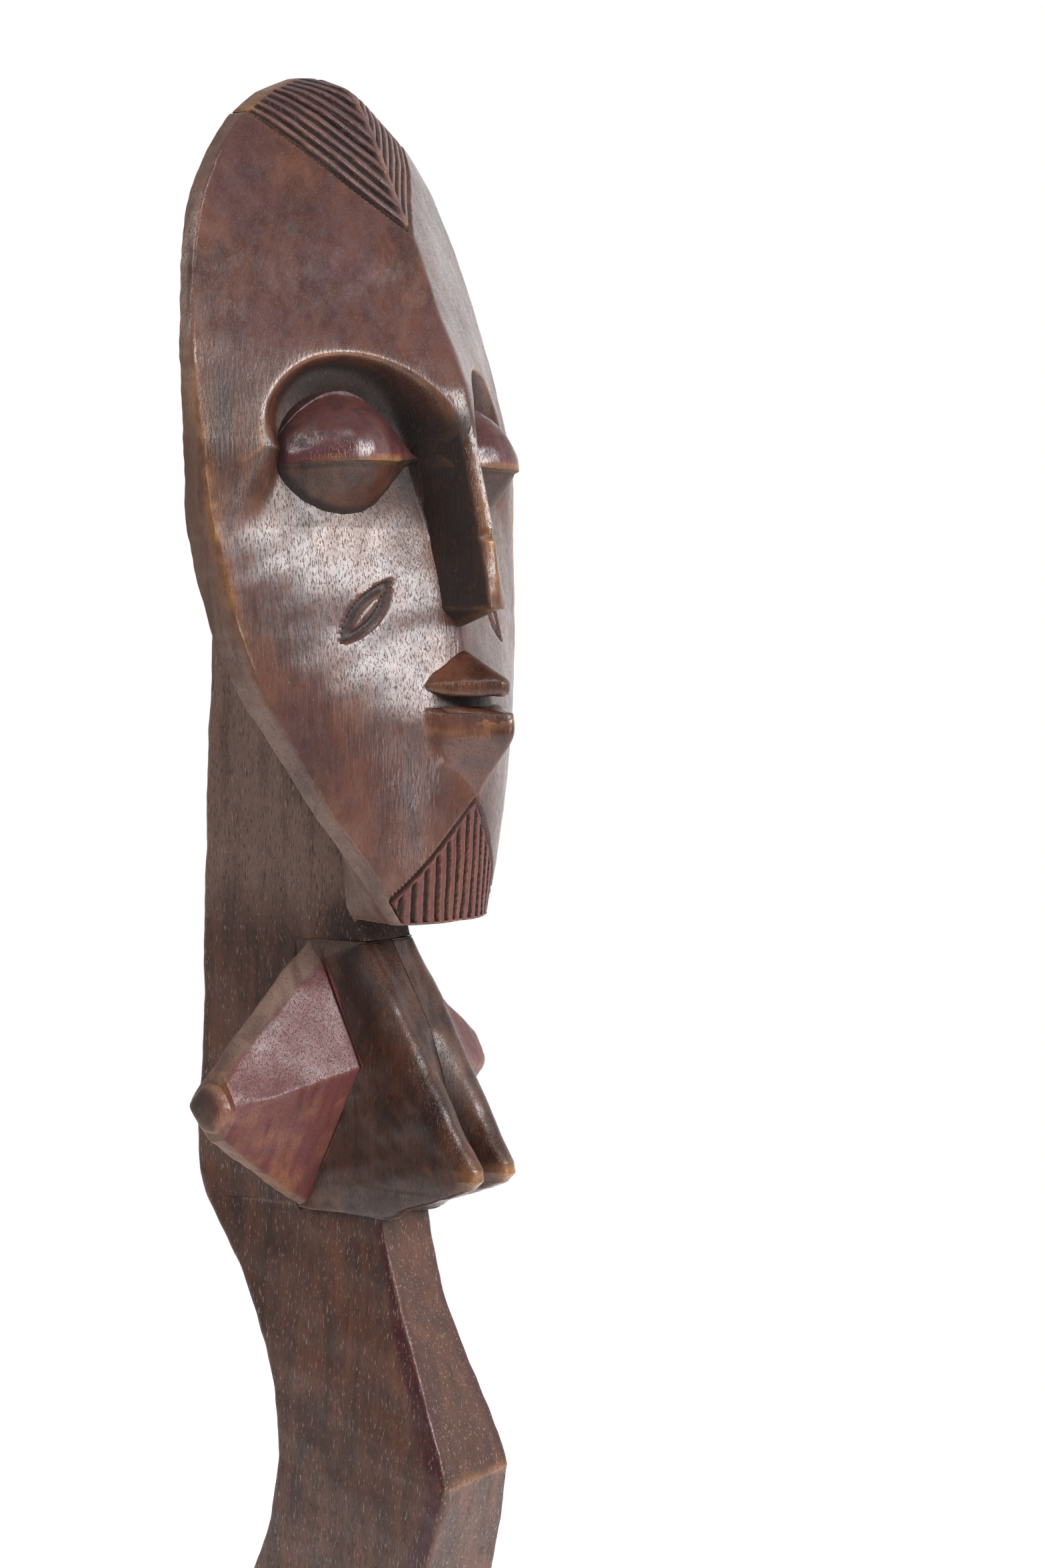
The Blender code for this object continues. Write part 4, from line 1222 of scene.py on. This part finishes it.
def carve_arm(side, finish):
    """A short arm: a six-sided pyramid cut off at its tip."""
    name = f"cut_arm_{side}"
    tip_x = box_mm("left_arm")[1][0] - 0.3
    start = SIDE_X - 3.0

    def edges_at(share):
        return [(blend(a[0], b[0], share), blend(a[1], b[1], share)) for a, b in zip(ARM_ROOT, ARM_TIP)]

    rings = []
    for x in np.concatenate([[start], np.linspace(SIDE_X - 1, tip_x - 3.8, 60), [tip_x]]):
        share = (x - SIDE_X) / (tip_x - SIDE_X)
        corners = edges_at(share)
        soft = 0.9 + 2.8 * ramp(0.6, 1.0, share)
        outline = rounded(corners, (soft, soft, soft, 1.5, soft, soft), steps=4, spans=9)
        rings.append(np.column_stack([np.full(len(outline), x), outline[:, 0], outline[:, 1]]))
    mesh = rings_mesh(name, rounded_ends(rings, 3.2, axis=0))
    hand_cut(mesh, 0.35, 18, 121)

    def wear(x, y, z):
        knob = 0.5 * ramp(54, 57.5, np.abs(x)) * ramp(60.2, 59.0, np.abs(x))
        low = 0.35 * ramp(309, 302, z) * ramp(0.35, 0.6, uneven((x, y, z), 12, 122) + 0.5)
        return knob + low

    def behind(x, y, z):
        """1 on the two strips that face back, 0 on the painted front facets."""
        edges = edges_at((np.abs(x) - SIDE_X) / (tip_x - SIDE_X))
        (y_high, z_high), (y_low, z_low) = edges[1], edges[5]
        return ramp(-0.6, 0.8, y - blend(y_low, y_high, (z - z_low) / (z_high - z_low)))

    return paired_piece(
        side, name, mesh, finish, "arm", "red_pigment", wear=wear, edge_wear=0.15,
        # The flat end of the tip is darkened
        soot=lambda x, y, z: 0.35 * ramp(58.6, 59.4, np.abs(x)),
        stain=lambda x, y, z: 1 - behind(x, y, z),
        bare=lambda x, y, z: behind(x, y, z) * ramp(59.6, 58.0, np.abs(x)),
    )


# Hips, legs, feet and base


def carve_hips(finish):
    """The swelling hips between the trunk and the legs."""
    low, high = box_mm("hips")
    bottom, top = low[2], high[2] + 0.2
    # height, front y, back y, half width
    rows = [
        (bottom, -20.5, 42.0, 18.8), (133.0, -24.0, 44.6, 19.2), (140.0, -28.4, 42.0, 19.0),
        (top, -33.2, 34.6, 17.8),
    ]
    front, back, wide = (smooth(rows, column) for column in (1, 2, 3))
    rings = []
    for z in np.linspace(bottom, top, 26):
        x, y = wide(z), back(z)
        corners = [(-x, front(z)), (x, front(z)), (x + 1.0, y), (0.0, y - 1.2), (-x - 1.0, y)]
        rings.append(ring_at(rounded(corners, (1.6, 1.6, 5.0, 2.0, 5.0), steps=6, spans=10), z))
    mesh = rings_mesh("swelling_hips", rounded_ends(rings, 0.3))
    hand_cut(mesh, 0.3, 16, 131)
    return new_piece(
        "swelling_hips", mesh, finish, "hips", "plain_wood", edge_wear=0.1,
        # Darker towards the bottom, where the legs meet
        soot=lambda x, y, z: 0.5 * ramp(131, 128, z),
    )


# A leg: (height, y of its front, y of its back)
LEG = [
    (36.0, -12.5, 21.0), (44.0, -14.5, 23.5), (52.0, -18.5, 26.5), (60.0, -24.0, 25.0), (70.0, -30.0, 17.0),
    (80.0, -33.4, 11.0), (87.0, -33.6, 10.4), (96.0, -30.0, 16.0), (106.0, -25.5, 27.0), (116.0, -22.6, 38.0),
    (128.3, -21.0, 43.0),
]


def carve_leg(side, finish):
    """A short flexed leg with its knee in front and its calf and thigh behind."""
    name = f"flexed_leg_{side}"
    low, high = box_mm("left_leg")
    front, back = smooth(LEG, 1), smooth(LEG, 2)
    rings = []
    for z in np.linspace(low[2] - 0.2, high[2] + 0.2, 100):
        swell = 0.6 * math.sin((z - low[2]) / (high[2] - low[2]) * 2 * math.pi)
        inner, outer = low[0], high[0] - 0.7 + swell
        y_front, y_back = front(z), back(z)
        corners = [
            (inner, y_front + 0.6), (outer - 0.8, y_front), (outer, (y_front + y_back) / 2),
            (outer - 0.8, y_back), (inner, y_back - 0.4),
        ]
        rings.append(ring_at(rounded(corners, (1.2, 4.5, 8.0, 4.5, 1.2), steps=6, spans=7), z))
    mesh = rings_mesh(name, rounded_ends(rings, 0.5))
    hand_cut(mesh, 0.3, 15, 141)
    return paired_piece(
        side, name, mesh, finish, "leg", "plain_wood", edge_wear=0.3,
        # Darker on the inner faces and towards the feet
        soot=lambda x, y, z: 0.6 * ramp(6.5, 3.2, np.abs(x)) + 0.4 * ramp(42, 37, z),
    )


def carve_foot(side, finish):
    """A block foot whose top slopes down to the toes."""
    name = f"block_foot_{side}"
    low, high = box_mm("left_foot")
    rings = []
    for z in np.linspace(low[2] - 0.2, high[2] + 0.2, 30):
        share = (z - low[2]) / (high[2] - low[2])
        toe = blend(low[1] + 0.8, -12.0, ramp(0.22, 1.15, share) * 1.25)
        pull = 2.6 * share
        corners = [
            (low[0], toe), (high[0] - 3.0, toe), (high[0] - 0.2 - pull * 0.3, toe + 5),
            (high[0] - pull * 0.4, high[1] - 3), (low[0], high[1] - pull * 0.4),
        ]
        rings.append(ring_at(rounded(corners, (1.0, 2.5, 3.0, 3.5, 1.0), steps=5, spans=6), z))
    mesh = rings_mesh(name, rounded_ends(rings, 0.9))
    hand_cut(mesh, 0.25, 13, 151)
    return paired_piece(
        side, name, mesh, finish, "foot", "plain_wood", edge_wear=0.5,
        # Darker on the inner faces and towards the bottom
        soot=lambda x, y, z: 0.6 * ramp(6.0, 3.2, np.abs(x)) + 0.4 * ramp(22, 18, z),
    )


def carve_base(finish):
    """A low block with rounded corners and adzed sides."""
    low, high = box_mm("base")
    x, y = high[0] - 0.4, high[1] - 0.4
    corners = [(-x, -y), (x, -y), (x, y), (-x, y)]
    outline = rounded(corners, 12.0, steps=14, spans=22)
    rings = [ring_at(outline, z) for z in np.linspace(low[2], high[2], 16)]
    rings = rounded_ends(rings, 1.3)
    rings += [shrunk(rings[-1], inset) for inset in (4, 9, 15, 22, 30)]
    mesh = rings_mesh("adzed_base", rings)
    hand_cut(mesh, 0.35, 22, 161, keep=lambda x, y, z: ramp(0.6, 3.0, z))
    return new_piece(
        "adzed_base", mesh, finish, "base", "plain_wood", edge_wear=0.6,
        # Darker towards the bottom
        soot=lambda x, y, z: 0.4 * ramp(3.0, 0.0, z),
    )


# Settings, operators and panel


def length(name, description, default):
    """A setting that is a length in metres."""
    return bpy.props.FloatProperty(
        name=name, description=description, default=default, min=0.0, unit="LENGTH", precision=4,
    )


def colour(name, description, default):
    """A setting that is a colour."""
    return bpy.props.FloatVectorProperty(
        name=name, description=description, default=default, min=0.0, max=1.0, subtype="COLOR",
    )


class FigureWood(bpy.types.PropertyGroup):
    dark: colour("Dark wood", "The wood's darker grain", (0.036, 0.0110, 0.0062))
    light: colour("Light wood", "The wood's lighter grain", (0.096, 0.0330, 0.0170))
    pigment: colour("Red pigment", "The pigment rubbed into arms and beard", (0.098, 0.021, 0.021))
    hair: colour("Hair pigment", "The pigment on the coiffure's ridges", (0.085, 0.042, 0.052))
    worn: colour("Worn edges", "Bare wood where hands have rubbed it", (0.33, 0.150, 0.058))


class FigureGrooves(bpy.types.PropertyGroup):
    coiffure_pitch: length("Coiffure pitch", "From one hair groove to the next", 0.0036)
    coiffure_depth: length("Coiffure depth", "How deep the hair grooves are", 0.0014)
    beard_pitch: length("Beard pitch", "From one beard groove to the next", 0.0034)
    beard_depth: length("Beard depth", "How deep the beard grooves are", 0.0012)


class FigureStage(bpy.types.PropertyGroup):
    floor: length("Floor", "The floor's half width", 0.75)
    light: bpy.props.FloatProperty(name="Light", description="All the lights' strength", default=1.0, min=0.0)


def finish_of(name):
    """One of the figure's finishes, made when it is first asked for."""
    done = bpy.data.materials.get(name)
    if done:
        return done
    tone = bpy.context.scene.figure_wood
    dark, light, pigment, worn = tuple(tone.dark), tuple(tone.light), tuple(tone.pigment), tuple(tone.worn)
    if name == "Dark wood":
        dark, light = toned(dark, 0.7), toned(light, 0.7)
    stain, surface = {
        "Polished wood": (FACE_STAIN, {"rough": 0.22, "pores": 0.45, "flecks": 0.08}),
        "Lid wood": (LID_STAIN, {"rough": 0.28, "pores": 0.3}),
        "Dark wood": (pigment, {"rough": 0.24, "pores": 0.5, "flecks": 0.1}),
        "Plain wood": (
            TRUNK_STAIN, {"rough": 0.38, "pores": 0.7, "flecks": 0.55, "relief": 0.8, "warmth": 0.25},
        ),
        "Hair pigment": (tuple(tone.hair), {"rough": 0.46, "pores": 0.7, "flecks": 0.15, "relief": 1.0}),
        "Red pigment": (pigment, {"rough": 0.46, "pores": 0.5, "flecks": 0.12}),
    }[name]
    return wood(name, dark, light, stain, worn, **surface)


class Carving:
    """What the figure's operators share."""

    bl_options = {"REGISTER", "UNDO"}

    def execute(self, context):
        self.carve(context.scene)
        return {"FINISHED"}


class OBJECT_OT_figure_face(Carving, bpy.types.Operator):
    """Carve the shield face, with its brows, scars and chin"""

    bl_idname = "object.figure_face"
    bl_label = "Face"

    def carve(self, scene):
        carve_face(finish_of("Polished wood"))


class OBJECT_OT_figure_hair(Carving, bpy.types.Operator):
    """Comb the coiffure and the beard"""

    bl_idname = "object.figure_hair"
    bl_label = "Coiffure and beard"

    def carve(self, scene):
        cut = scene.figure_grooves
        carve_coiffure(finish_of("Hair pigment"), cut.coiffure_pitch / MM, cut.coiffure_depth / MM)
        carve_beard(finish_of("Red pigment"), cut.beard_pitch / MM, cut.beard_depth / MM)


class OBJECT_OT_figure_eyes(Carving, bpy.types.Operator):
    """Carve the two closed eyes"""

    bl_idname = "object.figure_eyes"
    bl_label = "Eyes"

    def carve(self, scene):
        for side in SIDES:
            carve_eye(side, finish_of("Lid wood"))


class OBJECT_OT_figure_nose(Carving, bpy.types.Operator):
    """Carve the long narrow nose"""

    bl_idname = "object.figure_nose"
    bl_label = "Nose"

    def carve(self, scene):
        carve_nose(finish_of("Polished wood"))


class OBJECT_OT_figure_mouth(Carving, bpy.types.Operator):
    """Carve the upper and the lower lip"""

    bl_idname = "object.figure_mouth"
    bl_label = "Mouth"

    def carve(self, scene):
        carve_upper_lip(finish_of("Polished wood"))
        carve_lower_lip(finish_of("Polished wood"))


class OBJECT_OT_figure_trunk(Carving, bpy.types.Operator):
    """Carve the plank trunk and the hips"""

    bl_idname = "object.figure_trunk"
    bl_label = "Trunk and hips"

    def carve(self, scene):
        carve_trunk(finish_of("Plain wood"))
        carve_hips(finish_of("Plain wood"))


class OBJECT_OT_figure_chest(Carving, bpy.types.Operator):
    """Carve the two breasts"""

    bl_idname = "object.figure_chest"
    bl_label = "Chest"

    def carve(self, scene):
        for side in SIDES:
            carve_breast(side, finish_of("Dark wood"))


class OBJECT_OT_figure_arms(Carving, bpy.types.Operator):
    """Carve the two short arms"""

    bl_idname = "object.figure_arms"
    bl_label = "Arms"

    def carve(self, scene):
        for side in SIDES:
            carve_arm(side, finish_of("Red pigment"))


class OBJECT_OT_figure_legs(Carving, bpy.types.Operator):
    """Carve the legs, the feet and the base"""

    bl_idname = "object.figure_legs"
    bl_label = "Legs, feet and base"

    def carve(self, scene):
        plain = finish_of("Plain wood")
        for side in SIDES:
            carve_leg(side, plain)
            carve_foot(side, plain)
        carve_base(plain)


# Soft boxes, in metres and watts: (name, place, what it points at, width and height, power)
HEAD_MIDDLE = (0.0, 0.0, 0.45)
LIGHTS = [
    ("front soft box", (0.05, -1.45, 1.06), HEAD_MIDDLE, (1.0, 0.44), 27.0),
    ("low strip", (-0.2, -1.5, 0.16), (0.0, 0.0, 0.2), (0.07, 0.6), 3.0),
    ("side soft box", (-1.1, 0.2, 1.5), HEAD_MIDDLE, (0.5, 0.5), 6.0),
    ("high soft box", (-0.6, -0.6, 1.7), HEAD_MIDDLE, (0.5, 0.5), 4.0),
]
CAMERA_PLACE = (-0.58154, -0.51443, 0.44559)
CAMERA_TURN = (86.3, 0.0, -52.0)
CAMERA_LENS = 60.0
WHITE = (1.0, 1.0, 1.0, 1.0)


def add_light(name, place, target, size, watts):
    """A soft box that points at a target."""
    data = bpy.data.lights.new(name, "AREA")
    data.shape, data.size, data.size_y = "RECTANGLE", size[0], size[1]
    data.energy = watts
    obj = bpy.data.objects.new(name, data)
    obj.location = place
    obj.rotation_euler = (Vector(target) - Vector(place)).to_track_quat("-Z", "Y").to_euler()
    bpy.context.scene.collection.objects.link(obj)


def studio_world():
    """A plain white backdrop, which lights the figure strongly from behind and dimly from elsewhere."""
    world = bpy.data.worlds.new("Pale studio")
    bpy.context.scene.world = world
    world.use_nodes = True
    room = Nodes(world.node_tree)
    way = room.node("ShaderNodeTexCoord", output="Generated")

    def towards(direction):
        dot = {"operation": "DOT_PRODUCT"}
        return room.node("ShaderNodeVectorMath", dot, {0: way, 1: direction}, output="Value")

    level = towards((0, 0, 1))
    band = level.between(-0.65, -0.15) * (1 - 0.75 * level.between(0.25, 0.8))
    behind = towards((0.80, 0.60, 0.0)).between(-0.25, 0.6)
    ahead = towards((0.05, -1.0, 0.0)).between(0.35, 0.9)
    light = 0.21 + band * (0.95 * behind + 0.15 * ahead)
    seen = room.node("ShaderNodeLightPath", output="Is Camera Ray")
    shader = world.node_tree.nodes["Background"]
    shader.inputs["Color"].default_value = WHITE
    room.set(shader.inputs["Strength"], light * (1 - seen) + seen)


def pale_floor(half):
    """A square floor of a half width."""
    mesh = bpy.data.meshes.new("floor")
    corners = [(-half, -half, 0), (half, -half, 0), (half, half, 0), (-half, half, 0)]
    mesh.from_pydata(corners, [], [(0, 1, 2, 3)])
    floor = bpy.data.objects.new("floor", mesh)
    bpy.context.scene.collection.objects.link(floor)
    finish = bpy.data.materials.new("Pale floor")
    finish.use_nodes = True
    shader = finish.node_tree.nodes["Principled BSDF"]
    shader.inputs["Base Color"].default_value = (0.92, 0.92, 0.92, 1.0)
    shader.inputs["Roughness"].default_value = 0.9
    shader.inputs["Emission Color"].default_value = WHITE
    shader.inputs["Emission Strength"].default_value = 0.7
    mesh.materials.append(finish)


class SCENE_OT_figure_stage(Carving, bpy.types.Operator):
    """Set the floor, the lights and the camera"""

    bl_idname = "scene.figure_stage"
    bl_label = "Floor, light and camera"

    def carve(self, scene):
        stage = scene.figure_stage
        pale_floor(stage.floor)
        studio_world()
        for *setting, watts in LIGHTS:
            add_light(*setting, watts * stage.light)
        data = bpy.data.cameras.new("camera")
        data.lens = CAMERA_LENS
        camera = bpy.data.objects.new("camera", data)
        camera.location = CAMERA_PLACE
        camera.rotation_euler = [math.radians(turn) for turn in CAMERA_TURN]
        scene.collection.objects.link(camera)
        scene.camera = camera
        scene.view_settings.view_transform = "Standard"


class VIEW3D_PT_figure(bpy.types.Panel):
    """The figure's carvings, sizes and colours"""

    bl_label = "Ancestor figure"
    bl_space_type = "VIEW_3D"
    bl_region_type = "UI"
    bl_category = "Ancestor figure"

    def draw(self, context):
        for operator in STEPS:
            self.layout.operator(operator.bl_idname)
        for group in (context.scene.figure_wood, context.scene.figure_grooves, context.scene.figure_stage):
            box = self.layout.box()
            for name in group.__annotations__:
                box.prop(group, name)


GROUPS = {"figure_wood": FigureWood, "figure_grooves": FigureGrooves, "figure_stage": FigureStage}
STEPS = (
    OBJECT_OT_figure_face, OBJECT_OT_figure_hair, OBJECT_OT_figure_eyes, OBJECT_OT_figure_nose,
    OBJECT_OT_figure_mouth, OBJECT_OT_figure_trunk, OBJECT_OT_figure_chest, OBJECT_OT_figure_arms,
    OBJECT_OT_figure_legs, SCENE_OT_figure_stage,
)


def register():
    """Adds the settings, the operators and the panel."""
    for group in (*GROUPS.values(), *STEPS, VIEW3D_PT_figure):
        bpy.utils.register_class(group)
    for name, group in GROUPS.items():
        setattr(bpy.types.Scene, name, bpy.props.PointerProperty(type=group))


def unregister():
    """Takes them away again."""
    for name in GROUPS:
        delattr(bpy.types.Scene, name)
    for group in reversed((*GROUPS.values(), *STEPS, VIEW3D_PT_figure)):
        bpy.utils.unregister_class(group)


def main():
    """Makes every piece and the stage."""
    register()
    for step in STEPS:
        kind, name = step.bl_idname.split(".")
        getattr(getattr(bpy.ops, kind), name)()


if __name__ == "__main__":
    main()
